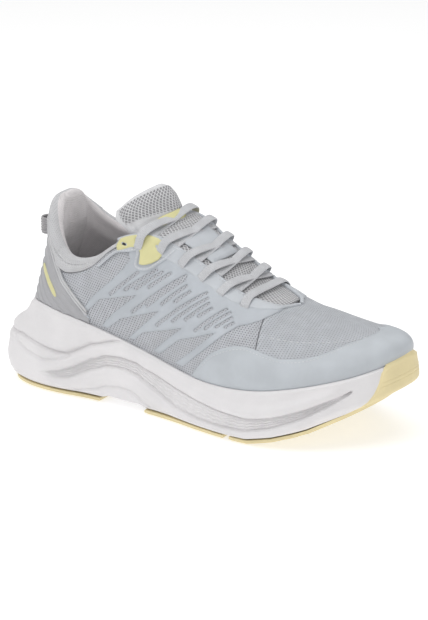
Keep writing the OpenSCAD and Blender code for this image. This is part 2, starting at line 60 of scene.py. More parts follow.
def lk(T, x): return np.interp(x, T[:, 0], T[:, 1])
def lin(T, u): return np.interp(u, np.arange(len(T)), T)
def sm(t):
    t = np.clip(t, 0, 1)
    return t*t*(3-2*t)
def crv(T, u):
    u = np.asarray(u, float); n = len(T)-1
    i = np.clip(np.floor(u).astype(int), 1, n-2); t = (u-i)[..., None]
    if T.ndim == 3: t = t[..., None]
    a, b, c, d = T[i-1], T[i], T[i+1], T[i+2]
    return 0.5*((2*b)+(c-a)*t+(2*a-5*b+4*c-d)*t*t+(3*b-a-3*c+d)*t**3)
def row(s, u): return crv(LX if s < 0 else MX, np.asarray(u, float)+1)
def top(s, u):
    a, b = row(s, u), row(-s, u); w = (np.asarray(u) >= 12)[..., None]
    return np.where(w, (a[..., 5:8]+b[..., 5:8])/2, a[..., 5:8])
def out(s, u):
    d = (row(s, u+.02)-row(s, u-.02))[..., :2]; d = d/np.linalg.norm(d, axis=-1, keepdims=True)
    return -s*np.stack([d[..., 1], -d[..., 0]], -1)
def up0(s, u, v):
    u, v = np.broadcast_arrays(np.asarray(u, float), np.asarray(v, float))
    r = row(s, u); n = out(s, u); F = r[..., 2:5]; T = top(s, u)
    n3 = np.stack([n[..., 0], n[..., 1], np.zeros_like(u)], -1); k = np.array([0, 0, 1.])
    P = F+n3*r[..., 8:9]+k*r[..., 9:10]; Q = T+n3*r[..., 10:11]+k*r[..., 11:12]
    v = v[..., None]; w = 1-v
    return w**3*F+3*w*w*v*P+3*w*v*v*Q+v**3*T
def nrm(s, u, v):
    u, v = np.broadcast_arrays(np.asarray(u, float), np.asarray(v, float)); e = .02
    vv = np.where(u >= 12, np.minimum(v, .985), v)
    a = up0(s, u+e, vv)-up0(s, u-e, vv); b = up0(s, u, np.minimum(vv+e, 1))-up0(s, u, np.maximum(vv-e, 0))
    c = -s*np.cross(a, b); c /= np.linalg.norm(c, axis=-1, keepdims=True)
    r = np.array([.08, 0, 1.]); r /= np.linalg.norm(r)
    w = (sm((v-.80)/.2)*(u >= 12))[..., None]
    c = c*(1-w)+r*w
    return c/np.linalg.norm(c, axis=-1, keepdims=True)
def up(s, u, v, o): return up0(s, u, v)+np.asarray(o, float)[..., None]*nrm(s, u, v)
def wall(s, u, h, o=0.):
    u, h = np.broadcast_arrays(np.asarray(u, float), np.asarray(h, float))
    r = row(s, u); dx = r[..., 2]-r[..., 0]; dy = r[..., 3]-r[..., 1]; l = np.hypot(dx, dy)
    k = 1-.6*sm((u-5)/1.5)*sm((13.5-u)/1.5); q = lk(HB, h)*k+lk(HT, h)*(l-3)+o; zb = lk(ZM, r[..., 0]+dx/l*8*k)
    return np.stack([r[..., 0]+dx/l*q, r[..., 1]+dy/l*q, zb+(r[..., 4]-zb)*h], -1)
def feather(s, u, d, z):
    r = row(s, u); n = out(s, u); z = np.broadcast_to(z, np.shape(r[..., 2]))
    return np.stack([r[..., 2]-n[..., 0]*d, r[..., 3]-n[..., 1]*d, z], -1)
def thk(u, v): return lin(TH, u)*(.55+.45*sm(v/.8))

# ------------------------------------------------------------------ meshes
def mm(V):
    V = np.asarray(V, float)
    return np.stack([(V[..., 0]-135)/1000, (V[..., 1]+1.5)/1000, V[..., 2]/1000], -1)
def vec(p): return Vector(mm(np.asarray(p, float)).tolist())
def gridf(m, n, cu=False, cv=False, base=0):
    i = np.arange(m if cu else m-1); j = np.arange(n if cv else n-1)
    I, J = np.meshgrid(i, j, indexing="ij"); I2 = (I+1) % m; J2 = (J+1) % n
    return np.stack([I*n+J, I*n+J2, I2*n+J2, I2*n+J], -1).reshape(-1, 4)+base
def piece(name, V, F, mat, body="shoe_body", uv=None, slot=None, rep=(), smooth=True, angle=None, fix=True, merge=0, col=None):
    """V in mm in shoe coordinates; F a list of faces; uv one pair a vertex, in mm."""
    me = bpy.data.meshes.new(name)
    F = [list(map(int, f)) for f in F]
    me.from_pydata(mm(V).tolist(), [], F)
    if uv is not None:
        L = me.uv_layers.new(name="uv")
        idx = np.zeros(len(me.loops), int); me.loops.foreach_get("vertex_index", idx)
        L.data.foreach_set("uv", np.asarray(uv, float)[idx].ravel())
    if col is not None:
        a = me.attributes.new("tone", "FLOAT", "POINT"); a.data.foreach_set("value", np.asarray(col, np.float32))
    ob = bpy.data.objects.new(name, me); bpy.context.scene.collection.objects.link(ob)
    if fix or merge:
        import bmesh
        bm = bmesh.new(); bm.from_mesh(me)
        if merge: bmesh.ops.remove_doubles(bm, verts=bm.verts, dist=merge/1000)
        if fix: bmesh.ops.recalc_face_normals(bm, faces=bm.faces)
        bm.to_mesh(me); bm.free()
    me.polygons.foreach_set("use_smooth", [bool(smooth)]*len(me.polygons))
    if angle: 
        me.set_sharp_from_angle(angle=math.radians(angle))
    me.materials.append(mat)
    if body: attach(ob, body)
    if rep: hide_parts(*rep)
    return ob
def arc(P):
    """Arc length along the second axis and, at mid height, along the first, as UVs in mm."""
    m, n = P.shape[:2]
    b = np.concatenate([np.zeros((m, 1)), np.cumsum(np.linalg.norm(np.diff(P, axis=1), axis=-1), 1)], 1)
    mid = P[:, n//2]; a = np.concatenate([[0], np.cumsum(np.linalg.norm(np.diff(mid, axis=0), axis=-1))])
    return np.stack([np.broadcast_to(a[:, None], (m, n)), b], -1)
def shell(name, P, Q, mat, closed=False, **kw):
    """A closed skin between the outer grid P and the inner grid Q, with its rim."""
    m, n = P.shape[:2]; uvp = kw.pop("uv", None)
    uvp = arc(P) if uvp is None else uvp
    V = np.vstack([P.reshape(-1, 3), Q.reshape(-1, 3)]); UV = np.vstack([uvp.reshape(-1, 2)]*2)
    b = m*n; F = gridf(m, n, closed).tolist()+[f[::-1] for f in gridf(m, n, closed, base=b).tolist()]
    I = range(m if closed else m-1)
    for i in I:
        k = (i+1) % m
        F.append([i*n, k*n, b+k*n, b+i*n]); F.append([k*n+n-1, i*n+n-1, b+i*n+n-1, b+k*n+n-1])
    if not closed:
        for j in range(n-1):
            F.append([j+1, j, b+j, b+j+1]); e = (m-1)*n; F.append([e+j, e+j+1, b+e+j+1, b+e+j])
    return piece(name, V, F, mat, uv=UV, **kw)
def cut(name, fp, fq, D, UV, mat, soft=0.9, **kw):
    """Skin trimmed to D > 0, with D in mm; fp(w) gives the outer grid at edge weight w, fq() the inner one."""
    D = D.copy(); D[np.abs(D) < .06] = .06
    w = .3+.7*sm(D/soft); P = fp(w); P0 = fp(np.full_like(w, .3)); Q = fq(); m, n = D.shape
    pv, qv, uv, idx = [], [], [], -np.ones(m*n, int)
    Pf, P0f, Qf, Uf, Df = P.reshape(-1, 3), P0.reshape(-1, 3), Q.reshape(-1, 3), UV.reshape(-1, 2), D.ravel()
    ins = np.where(Df > 0)[0]; idx[ins] = np.arange(len(ins))
    pv = list(Pf[ins]); qv = list(Qf[ins]); uv = list(Uf[ins]); made = {}
    def edge(a, b):
        k = (min(a, b), max(a, b))
        if k not in made:
            t = Df[a]/(Df[a]-Df[b]); made[k] = len(pv)
            pv.append(P0f[a]*(1-t)+P0f[b]*t); qv.append(Qf[a]*(1-t)+Qf[b]*t); uv.append(Uf[a]*(1-t)+Uf[b]*t)
        return made[k]
    G = gridf(m, n); S = Df[G] > 0; cnt = S.sum(1)
    F = idx[G[cnt == 4]].tolist()
    for q in G[(cnt > 0) & (cnt < 4)]:
        f = []
        for k in range(4):
            a, b = int(q[k]), int(q[(k+1) % 4])
            if Df[a] > 0: f.append(int(idx[a]))
            if (Df[a] > 0) != (Df[b] > 0): f.append(edge(a, b))
        if len(f) == 6 and Df[q[0]] > 0: F += [[f[0], f[1], f[5]], [f[1], f[2], f[4], f[5]], [f[2], f[3], f[4]]] if False else [f]
        elif len(f) >= 3: F.append(f)
    b = len(pv); use = {}
    for f in F:
        for k in range(len(f)):
            e = (f[k], f[(k+1) % len(f)])
            if (e[1], e[0]) in use: del use[(e[1], e[0])]
            else: use[e] = 1
    A = F+[[x+b for x in f[::-1]] for f in F]+[[e[1], e[0], e[0]+b, e[1]+b] for e in use]
    return piece(name, np.vstack([np.array(pv), np.array(qv)]), A, mat, uv=np.vstack([np.array(uv)]*2), **kw)
def frames(P, up=(0, 0, 1)):
    P = np.asarray(P, float); t = np.gradient(P, axis=0); t /= np.linalg.norm(t, axis=1, keepdims=True)
    n = np.asarray(up, float)*np.ones_like(P); n = n-(n*t).sum(1, keepdims=True)*t; n /= np.linalg.norm(n, axis=1, keepdims=True)
    return t, n, np.cross(t, n)
def resample(P, step):
    P = np.asarray(P, float); L = np.concatenate([[0], np.cumsum(np.linalg.norm(np.diff(P, axis=0), axis=1))])
    s = np.linspace(0, L[-1], max(2, int(round(L[-1]/step))+1)); return np.stack([np.interp(s, L, P[:, k]) for k in range(P.shape[1])], -1)
def spline(P, n=16):
    P = np.asarray(P, float); E = np.vstack([2*P[0]-P[1], P, 2*P[-1]-P[-2]])
    return crv(E, 1+np.linspace(0, len(P)-1, (len(P)-1)*n+1))
def sweep(name, P, N, mat, w, h, lift=0., k=16, sq=2.6, ends=True, **kw):
    """Rounded flat band of width w and thickness h along P, lying along normals N. w and h may vary."""
    P = np.asarray(P, float); t = np.gradient(P, axis=0); t /= np.linalg.norm(t, axis=1, keepdims=True)
    N = N-(N*t).sum(1, keepdims=True)*t; N /= np.linalg.norm(N, axis=1, keepdims=True); B = np.cross(t, N)
    a = np.linspace(0, 2*np.pi, k, endpoint=False); c = np.sign(np.cos(a))*np.abs(np.cos(a))**(2/sq); d = np.sign(np.sin(a))*np.abs(np.sin(a))**(2/sq)
    w = np.broadcast_to(w, len(P)); h = np.broadcast_to(h, len(P))
    V = P[:, None]+B[:, None]*(c[None, :, None]*w[:, None, None]/2)+N[:, None]*(d[None, :, None]*h[:, None, None]/2+np.asarray(lift)+h[:, None, None]/2)
    L = np.concatenate([[0], np.cumsum(np.linalg.norm(np.diff(P, axis=0), axis=1))])
    U = np.stack([np.broadcast_to(L[:, None], V.shape[:2]), c[None]*w[:, None]/2], -1)
    m = len(P); F = gridf(m, k, cv=True).tolist(); V = V.reshape(-1, 3); U = U.reshape(-1, 2)
    if ends:
        V = np.vstack([V, V[:k].mean(0), V[-k:].mean(0)]); U = np.vstack([U, U[0]*0, U[0]*0+L[-1]])
        F += [[m*k, (j+1) % k, j] for j in range(k)]+[[m*k+1, (m-1)*k+j, (m-1)*k+(j+1) % k] for j in range(k)]
    return piece(name, V, F, mat, uv=U, **kw)
def stitches(name, P, N, mat, length=2.0, gap=1.0, r=.24, **kw):
    """A row of raised thread stitches along P."""
    step = length+gap; A = resample(np.hstack([P, N]), step/8); Vs, Fs, Us = [], [], []; k = 6; nb = 0
    per = 8; nl = max(2, int(round(length/step*per)))
    for i in range(0, len(A)-nl, per):
        Q = A[i:i+nl+1, :3]; M = A[i:i+nl+1, 3:]; t = np.gradient(Q, axis=0); t /= np.linalg.norm(t, axis=1, keepdims=True)
        M = M-(M*t).sum(1, keepdims=True)*t; M /= np.linalg.norm(M, axis=1, keepdims=True); B = np.cross(t, M)
        s = np.sin(np.linspace(.12, np.pi-.12, len(Q)))**.5; a = np.linspace(0, 2*np.pi, k, endpoint=False)
        V = Q[:, None]+(np.cos(a)[None, :, None]*B[:, None]*1.25+np.sin(a)[None, :, None]*M[:, None])*(r*s)[:, None, None]+M[:, None]*(r*.25*s)[:, None, None]
        m = len(Q); F = gridf(m, k, cv=True, base=nb).tolist(); F += [list(range(nb+k-1, nb-1, -1)), list(range(nb+(m-1)*k, nb+m*k))]
        Vs.append(V.reshape(-1, 3)); Fs += F; nb += m*k
    return piece(name, np.vstack(Vs), Fs, mat, fix=False, **kw)

# ------------------------------------------------------------------ materials
def lin3(c):
    c = np.array(c, float)/255; c = np.where(c <= .04045, c/12.92, ((c+.055)/1.055)**2.4); return (*c.tolist(), 1.)
class Mat:
    def __init__(s, name, rough=.6, spec=.5, sheen=0., sheen_rough=.4, coat=0., coat_rough=.2, metal=0.):
        s.m = bpy.data.materials.new(name); s.m.use_nodes = True; s.t = s.m.node_tree; s.t.nodes.clear()
        s.o = s.t.nodes.new("ShaderNodeOutputMaterial"); s.p = s.t.nodes.new("ShaderNodeBsdfPrincipled")
        s.t.links.new(s.p.outputs[0], s.o.inputs[0]); p = s.p.inputs
        p["Roughness"].default_value = rough; p["Specular IOR Level"].default_value = spec
        p["Sheen Weight"].default_value = sheen; p["Sheen Roughness"].default_value = sheen_rough
        p["Coat Weight"].default_value = coat; p["Coat Roughness"].default_value = coat_rough; p["Metallic"].default_value = metal
        s.h = None
    def link(s, a, b): s.t.links.new(a, b)
    def math(s, op, a, b=None, c=None, clamp=False):
        n = s.t.nodes.new("ShaderNodeMath"); n.operation = op; n.use_clamp = clamp
        for i, x in enumerate((a, b, c)):
            if x is None: continue
            if isinstance(x, (int, float)): n.inputs[i].default_value = x
            else: s.link(x, n.inputs[i])
        return n.outputs[0]
    def uv(s):
        if not hasattr(s, "_uv"):
            n = s.t.nodes.new("ShaderNodeUVMap"); n.uv_map = "uv"; x = s.t.nodes.new("ShaderNodeSeparateXYZ"); s.link(n.outputs[0], x.inputs[0])
            s._uv = (x.outputs[0], x.outputs[1])
        return s._uv
    def obj(s):
        if not hasattr(s, "_ob"): s._ob = s.t.nodes.new("ShaderNodeTexCoord").outputs["Object"]
        return s._ob
    def noise(s, scale, detail=3., rough=.55, vec=None):
        n = s.t.nodes.new("ShaderNodeTexNoise"); n.inputs["Scale"].default_value = scale; n.inputs["Detail"].default_value = detail; n.inputs["Roughness"].default_value = rough
        s.link(vec if vec is not None else s.obj(), n.inputs["Vector"]); return n.outputs[0]
    def attr(s, name):
        n = s.t.nodes.new("ShaderNodeAttribute"); n.attribute_name = name; return n.outputs["Fac"]
    def step(s, x, a, b):
        n = s.t.nodes.new("ShaderNodeMapRange"); n.interpolation_type = "SMOOTHSTEP"
        s.link(x, n.inputs[0]); n.inputs[1].default_value = a; n.inputs[2].default_value = b; n.inputs[3].default_value = 0; n.inputs[4].default_value = 1
        return n.outputs[0]
    def mix(s, f, a, b):
        n = s.t.nodes.new("ShaderNodeMix"); n.data_type = "RGBA"
        s.link(f, n.inputs[0])
        for i, x in ((6, a), (7, b)):
            if isinstance(x, tuple): n.inputs[i].default_value = x
            else: s.link(x, n.inputs[i])
        return n.outputs[2]
    def color(s, c): s.link(c, s.p.inputs["Base Color"])
    def rough(s, f, a, b):
        n = s.t.nodes.new("ShaderNodeMapRange"); s.link(f, n.inputs[0]); n.inputs[3].default_value = a; n.inputs[4].default_value = b; s.link(n.outputs[0], s.p.inputs["Roughness"])
    def bump(s, h, dist, strength=1.):
        """h in units of dist metres."""
        n = s.t.nodes.new("ShaderNodeBump"); n.inputs["Strength"].default_value = strength; n.inputs["Distance"].default_value = dist
        s.link(h, n.inputs["Height"])
        if s.h is not None: s.link(s.h, n.inputs["Normal"])
        s.h = n.outputs[0]; s.link(s.h, s.p.inputs["Normal"])
    def tri(s, x, p):
        """0..1..0 triangle wave of period p"""
        return s.math("PINGPONG", s.math("DIVIDE", x, p/2), 1.)
    def wave(s, x, p, ph=0.):
        return s.math("MULTIPLY_ADD", s.math("SINE", s.math("MULTIPLY_ADD", x, 2*math.pi/p, ph)), .5, .5)
    def cell(s, x, y, px, py, ox=0., oy=0.):
        """Squared distance in mm to the nearest point of a lattice"""
        a = s.math("WRAP", s.math("ADD", x, ox), px/2, -px/2); b = s.math("WRAP", s.math("ADD", y, oy), py/2, -py/2)
        return s.math("ADD", s.math("MULTIPLY", a, a), s.math("MULTIPLY", b, b))
    def hexdots(s, x, y, p, r, soft=.15, ratio=1.732):
        d = s.math("SQRT", s.math("MINIMUM", s.cell(x, y, p, p*ratio), s.cell(x, y, p, p*ratio, p/2, p*ratio/2)))
        return s.step(d, r+soft, r-soft)
def tint(c, k): return tuple([min(1, x*k) for x in c[:3]]+[1.])

def fabric(name, c, pitch=2.6, hole=.5, hc=None, rough=.85, ratio=1.732, rib=.9, sheen=.25, depth=.0005, skew=0.):
    """Engineered mesh: a fine knit with open holes"""
    m = Mat(name, rough, .3, sheen); x, y = m.uv(); c = lin3(c); hc = lin3(hc) if hc else tint(c, .25)
    if skew: x = m.math("MULTIPLY_ADD", y, skew, x)
    d = m.hexdots(x, y, pitch, hole, .16, ratio); k = m.math("MULTIPLY", m.wave(x, rib), m.wave(y, rib*.8)); n = m.noise(140, 4); f = m.noise(900, 2)
    col = m.mix(m.step(n, .3, .75), tint(c, .95), tint(c, 1.06)); col = m.mix(m.math("MULTIPLY", k, .35), col, tint(c, .78)); col = m.mix(m.math("MULTIPLY", d, .88), col, hc)
    m.color(col); h = m.math("SUBTRACT", m.math("MULTIPLY_ADD", k, .25, m.math("MULTIPLY", f, .15)), d); m.bump(h, depth); return m.m
def film(name, c, rough=.42, grain=.00006, edge=None, spec=.45):
    """Welded film: satin, with a fine leather-like emboss"""
    m = Mat(name, rough, spec, .0, coat=.12, coat_rough=.35); c = lin3(c)
    v = m.t.nodes.new("ShaderNodeTexVoronoi"); v.feature = "DISTANCE_TO_EDGE"; v.inputs["Scale"].default_value = 1100; m.link(m.obj(), v.inputs["Vector"])
    n = m.noise(60, 4); f = m.noise(1500, 2)
    m.color(m.mix(m.step(n, .3, .75), tint(c, .955), tint(c, 1.05))); m.rough(m.math("MULTIPLY_ADD", n, .5, m.math("MULTIPLY", f, .5)), rough-.07, rough+.14)
    m.bump(m.math("MULTIPLY_ADD", m.step(v.outputs[0], 0, .12), .6, m.math("MULTIPLY", f, .4)), grain); return m.m
def foam(name, c):
    m = Mat(name, .62, .35, .05); c = lin3(c); n = m.noise(35, 4); f = m.noise(650, 3, .7); g = m.noise(2600, 2)
    m.color(m.mix(m.step(n, .3, .75), tint(c, .965), tint(c, 1.03))); m.rough(f, .5, .74)
    m.bump(m.math("MULTIPLY_ADD", f, .7, m.math("MULTIPLY", g, .3)), .00016); return m.m
def rubber(name, c):
    m = Mat(name, .55, .4); c = lin3(c); n = m.noise(45, 4); f = m.noise(1400, 3, .7)
    m.color(m.mix(m.step(n, .3, .75), tint(c, .93), tint(c, 1.05))); m.rough(f, .45, .7); m.bump(f, .00012); return m.m
def knit(name, c, p=1.3, sheen=.5, depth=.0003):
    """Soft lining knit, from the object's own coordinates so that it needs no UVs"""
    m = Mat(name, .95, .2, sheen); c = lin3(c); n = m.noise(90, 4)
    x = m.t.nodes.new("ShaderNodeSeparateXYZ"); m.link(m.obj(), x.inputs[0]); X, Y, Z = [m.math("MULTIPLY", o, 1000.) for o in x.outputs]
    a = m.wave(m.math("ADD", X, Z), p); b = m.wave(m.math("SUBTRACT", Z, X), p*1.1); k = m.math("MULTIPLY", m.math("MULTIPLY", a, b), m.math("MULTIPLY_ADD", m.wave(m.math("ADD", Y, Z), p), .6, .4)); f = m.noise(1800, 2)
    m.color(m.mix(m.math("MULTIPLY", k, .6), m.mix(m.step(n, .3, .7), tint(c, .94), tint(c, 1.05)), tint(c, .76))); m.bump(m.math("MULTIPLY_ADD", f, .35, m.math("MULTIPLY", k, -.8)), depth); return m.m
def braid(name, c, p=1.5, w=7., sheen=.3, depth=.00028, diag=1.4):
    """Flat braid with diagonal strands that meet along the middle"""
    m = Mat(name, .8, .3, sheen); x, y = m.uv(); c = lin3(c); ay = m.math("ABSOLUTE", y)
    k = m.wave(m.math("MULTIPLY_ADD", ay, diag, x), p); e = m.wave(y, 1.05); f = m.noise(1500, 2); n = m.noise(120, 3)
    g = m.math("MULTIPLY", k, e); m.color(m.mix(m.math("MULTIPLY", g, .55), m.mix(m.step(n, .3, .7), tint(c, .95), tint(c, 1.04)), tint(c, .74)))
    m.bump(m.math("MULTIPLY_ADD", f, .25, m.math("SUBTRACT", 1., g)), depth); return m.m
def webbing(name, c, p=1.6):
    m = Mat(name, .8, .3, .3); x, y = m.uv(); c = lin3(c); k = m.wave(y, p); q = m.wave(x, .9); f = m.noise(1500, 2); g = m.math("MULTIPLY_ADD", k, .7, m.math("MULTIPLY", q, .3))
    m.color(m.mix(g, tint(c, .74), tint(c, 1.06))); m.bump(m.math("MULTIPLY_ADD", f, .25, g), .00045); return m.m

def diamond(name, c, hc, px=3.3, py=4.6):
    """Open-hole mesh whose diamond holes fade out where the piece's tone is 0"""
    m = Mat(name, .88, .3, .3); x, y = m.uv(); c = lin3(c); hc = lin3(hc); r = m.wave(x, .9); q = m.wave(y, .8); k = m.math("MULTIPLY", r, q)
    def lat(ox, oy):
        a = m.math("ABSOLUTE", m.math("WRAP", m.math("ADD", x, ox), py/2, -py/2)); b = m.math("ABSOLUTE", m.math("WRAP", m.math("ADD", y, oy), px/2, -px/2))
        return m.math("ADD", m.math("MULTIPLY", a, 1/(py*.36)), m.math("MULTIPLY", b, 1/(px*.40)))
    d = m.step(m.math("MINIMUM", lat(0, 0), lat(py/2, px/2)), .98, .72); d = m.math("MULTIPLY", d, m.attr("tone")); n = m.noise(140, 4); f = m.noise(900, 2)
    col = m.mix(m.step(n, .3, .75), tint(c, .95), tint(c, 1.05)); col = m.mix(m.math("MULTIPLY", k, .3), col, tint(c, .8)); col = m.mix(m.math("MULTIPLY", d, .92), col, hc)
    m.color(col); m.bump(m.math("SUBTRACT", m.math("MULTIPLY_ADD", k, .15, m.math("MULTIPLY", f, .1)), d), .0008); return m.m

M_MESH = fabric("upper mesh", (193, 195, 200), 1.9, .36, (112, 114, 120), skew=.15)
M_VAMP = fabric("vamp mesh", (190, 193, 198), 2.1, .34, (134, 137, 143), ratio=1.5, depth=.0004, skew=.35)
M_TONGUE = diamond("tongue mesh", (218, 218, 220), (146, 145, 148), 2.5, 3.5)
M_COLLAR = fabric("collar fabric", (199, 199, 201), 1.5, .2, (150, 150, 152), rib=.8, depth=.0002, sheen=.5)
M_FILM = film("overlay film", (184, 189, 195))
M_TOE = film("toe film", (189, 194, 199), .5)
M_STAY = film("eyestay film", (194, 198, 203), .45)
M_HEEL = film("heel film", (172, 172, 175), .5)
M_YEL = film("accent film", (219, 214, 160), .5)
M_PIPE = braid("piping", (205, 205, 207), 1.2)
M_THREAD = braid("thread", (214, 215, 217), .6)
M_LIN = knit("lining knit", (222, 218, 219))
# the lining knit at .7 of its brightness: a painted-shade copy for the lining low inside the shoe; no piece uses it
M_LINING_SHADE = knit("lining painted shade", (156, 153, 154))
M_FOAM = foam("midsole foam", (226, 224, 225))
M_RUB = rubber("outsole rubber", (233, 218, 172))
# dark knit for the eyelet slots: painted shade inside the holes, not a dark part of the shoe
M_SLOT_SHADE = knit("eyelet hole shade", (66, 67, 71))
M_LACE = braid("lace braid", (205, 206, 209), 1.7)
M_WEB = webbing("webbing", (176, 174, 176))
M_SOCK = knit("sockliner cloth", (140, 141, 146), 1.1)
M_BOARD = knit("strobel board", (214, 211, 200), 2.)
M_PAD = foam("pad foam", (236, 232, 204))
M_COUNTER = film("counter board", (120, 120, 124), .6)
M_AGLET = film("aglet", (222, 224, 226), .25)
def dress(node, m):
    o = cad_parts[node]; o.data.materials.clear(); o.data.materials.append(m)

# ------------------------------------------------------------------ camera, light and floor
sc = bpy.context.scene
cd = bpy.data.cameras.new("cam"); cam = bpy.data.objects.new("cam", cd); sc.collection.objects.link(cam); sc.camera = cam
B = Vector((math.cos(math.radians(18))*math.sin(math.radians(30)), -math.cos(math.radians(18))*math.cos(math.radians(30)), math.sin(math.radians(18))))
tgt = Vector((.010, .0015, .055)); cam.location = tgt+B*1.4; cam.rotation_euler = (-B).to_track_quat("-Z", "Y").to_euler()
cd.lens = 121.94; cd.sensor_width = 36; cd.shift_x = -.0044; cd.shift_y = .0252; cd.clip_end = 50
def area(name, loc, size, power, aim=(0, 0, .05)):
    l = bpy.data.lights.new(name, "AREA"); l.energy = power; l.size = size; o = bpy.data.objects.new(name, l); sc.collection.objects.link(o)
    o.location = loc; o.rotation_euler = (Vector(aim)-Vector(loc)).to_track_quat("-Z", "Y").to_euler(); return o
area("key", (-.9, -1.1, 1.7), 1.3, 13)
area("top", (.1, .2, 2.0), 1.8, 17)
area("fill", (1.5, -1.3, .8), 1.5, 5)
w = bpy.data.worlds.new("w"); sc.world = w; w.use_nodes = True; w.node_tree.nodes["Background"].inputs[0].default_value = (1, 1, 1, 1); w.node_tree.nodes["Background"].inputs[1].default_value = .46
sc.view_settings.view_transform = "Standard"
me = bpy.data.meshes.new("floor"); s_ = 9.; me.from_pydata([(-s_, -s_, 0), (s_, -s_, 0), (s_, s_, 0), (-s_, s_, 0)], [], [(0, 1, 2, 3)])
fl = bpy.data.objects.new("floor", me); sc.collection.objects.link(fl)
fm = Mat("floor paper", .9, .1); fm.color(fm.mix(fm.noise(3, 2), (.61, .61, .61, 1), (.63, .63, .63, 1))); me.materials.append(fm.m); fm.p.inputs["Emission Color"].default_value = (1, 1, 1, 1); fm.p.inputs["Emission Strength"].default_value = .54

# ------------------------------------------------------------------ pieces
def cols(n, a=0., b=17.):
    """Stations round the whole shoe: lateral a..b, then medial b..a"""
    return np.concatenate([np.stack([-np.ones(n), np.linspace(a, b, n)], 1), np.stack([np.ones(n-2), np.linspace(b, a, n)[1:-1]], 1)]) if a == 0 and b == 17 else \
        np.concatenate([np.stack([-np.ones(n), np.linspace(a, b, n)], 1), np.stack([np.ones(n-1), np.linspace(b, a, n)[1:]], 1)])
def both(fn, C, *a):
    """fn(side, u, ...) for stations C with their sides"""
    L = C[:, 0] < 0; r = [fn(-1, C[:, 1].reshape(-1, *[1]*(len(a) and np.ndim(a[0])-1)), *a), fn(1, C[:, 1].reshape(-1, *[1]*(len(a) and np.ndim(a[0])-1)), *a)]
    return np.where(L.reshape(-1, *[1]*(r[0].ndim-1)), r[0], r[1])
def field(P, C):
    """Distance in mm from points (…,2) to the polyline C, and which side (+ above)"""
    P = np.asarray(P, float)[..., None, :]; a = C[:-1]; b = C[1:]; d = b-a
    t = np.clip(((P-a)*d).sum(-1)/(d*d).sum(-1), 0, 1); q = a+t[..., None]*d; w = P-q; r = np.hypot(w[..., 0], w[..., 1]); k = r.argmin(-1)
    s = np.take_along_axis(d[:, 0]*w[..., 1]-d[:, 1]*w[..., 0], k[..., None], -1)[..., 0]
    return np.take_along_axis(r, k[..., None], -1)[..., 0], np.sign(s)

# ---- midsole: wall with its sculpted creases, lip, tread side and footbed
def f_int(T, u): T = np.array(T, float); return np.interp(u, T[:, 0], T[:, 1])
CREASE = [(0,.60),(1.5,.60),(2.34,.595),(2.72,.605),(3.3,.575),(3.78,.545),(4.3,.53),(4.64,.55),(5.0,.645),(5.34,.765),(5.72,.86),(6.18,1.0)]
DENT = [(2.22,.565),(3.12,.435),(3.84,.385),(4.32,.43),(4.74,.53)]
G1 = [(3.72,.215),(4.32,.28),(4.84,.395),(5.36,.565),(5.74,.665),(6.2,.73),(6.72,.75),(7.28,.715),(8.08,.645),(8.9,.58),(9.78,.505),(10.5,.46),(11.08,.445),(11.84,.465),(12.86,.54),(13.96,.65)]
G2 = [(3.82,.2),(4.3,.2),(4.74,.255),(5.36,.43),(5.88,.54),(6.3,.575),(6.82,.55),(7.3,.455),(8.08,.27),(8.9,.205),(9.78,.195),(10.5,.21),(11.32,.245),(12.38,.34),(13.48,.53),(13.96,.64)]
LOW = [(4.6,.06),(4.92,.09),(5.54,.18),(6.18,.25),(6.5,.245),(6.8,.16),(7.1,.08)]
def sculpt(u, h, l):
    """Offset in mm of the midsole wall at station u and height h; l is the wall's height there"""
    o = np.zeros(np.broadcast(u, h).shape); hh = h*l
    P = np.stack(np.broadcast_arrays(u*17.5, hh), -1)
    def line(T): T = np.array(T); return np.stack([T[:, 0]*17.5, T[:, 1]*np.interp(T[:, 0], LU, LH)], -1)
    g1 = f_int(G1, u)*l; g2 = f_int(G2, u)*l; inb = sm((u-3.7)/.8)*sm((14.0-u)/.8)
    d1, s1 = field(P, line(G1)); d2, s2 = field(P, line(G2)); dc, scr = field(P, line(CREASE)); dd, sd = field(P, line(DENT)); dl, sl = field(P, line(LOW))
    o -= 2.1*np.exp(-(d1/.8)**2)*sm((u-3.5)/.6); o -= 1.9*np.exp(-(d2/.8)**2)*sm((u-3.6)/.6)
    band = (hh < g1) & (hh > g2) & (u > 3.8) & (u < 13.9)
    nb_ = (hh-g2)/np.maximum(g1-g2, .5); zz = .5+.5*np.cos(2*np.pi*(nb_*4+.35*np.abs(((u*17.5/2.6) % 2)-1)))
    o += np.where(band, (-1.25+1.05*zz)*sm(np.minimum(d1, d2)/1.4)*sm((g1-g2)/3.), 0)
    o += 2.3*np.exp(-((hh-g1-4.6)/3.6)**2)*inb*sm((hh-g1)/1.2)          # roll above the groove
    o += 1.7*np.exp(-((hh-g2+5.0)/4.2)**2)*inb*sm((g2-hh)/1.2)*(hh < g2)               # swell below it
    o -= 2.3*np.exp(-(dc/1.1)**2); o += 2.2*np.exp(-((dc-5)/3.4)**2)*(scr > 0)*sm((5.6-u)/.8); o += 1.1*np.exp(-((dc-4)/2.6)**2)*(scr < 0)*sm((5.6-u)/.8)
    o -= 1.6*np.where((sd < 0) & (scr < 0), 1, 0)*0
    o -= 1.7*np.exp(-(dd/1.2)**2)
    o -= 1.2*np.exp(-(dl/.95)**2)
    return o
LU = np.linspace(0, 17, 120); _p = wall(-1, LU, 1.); _q = wall(-1, LU, 0.); LH = np.linalg.norm(_p-_q, axis=-1)
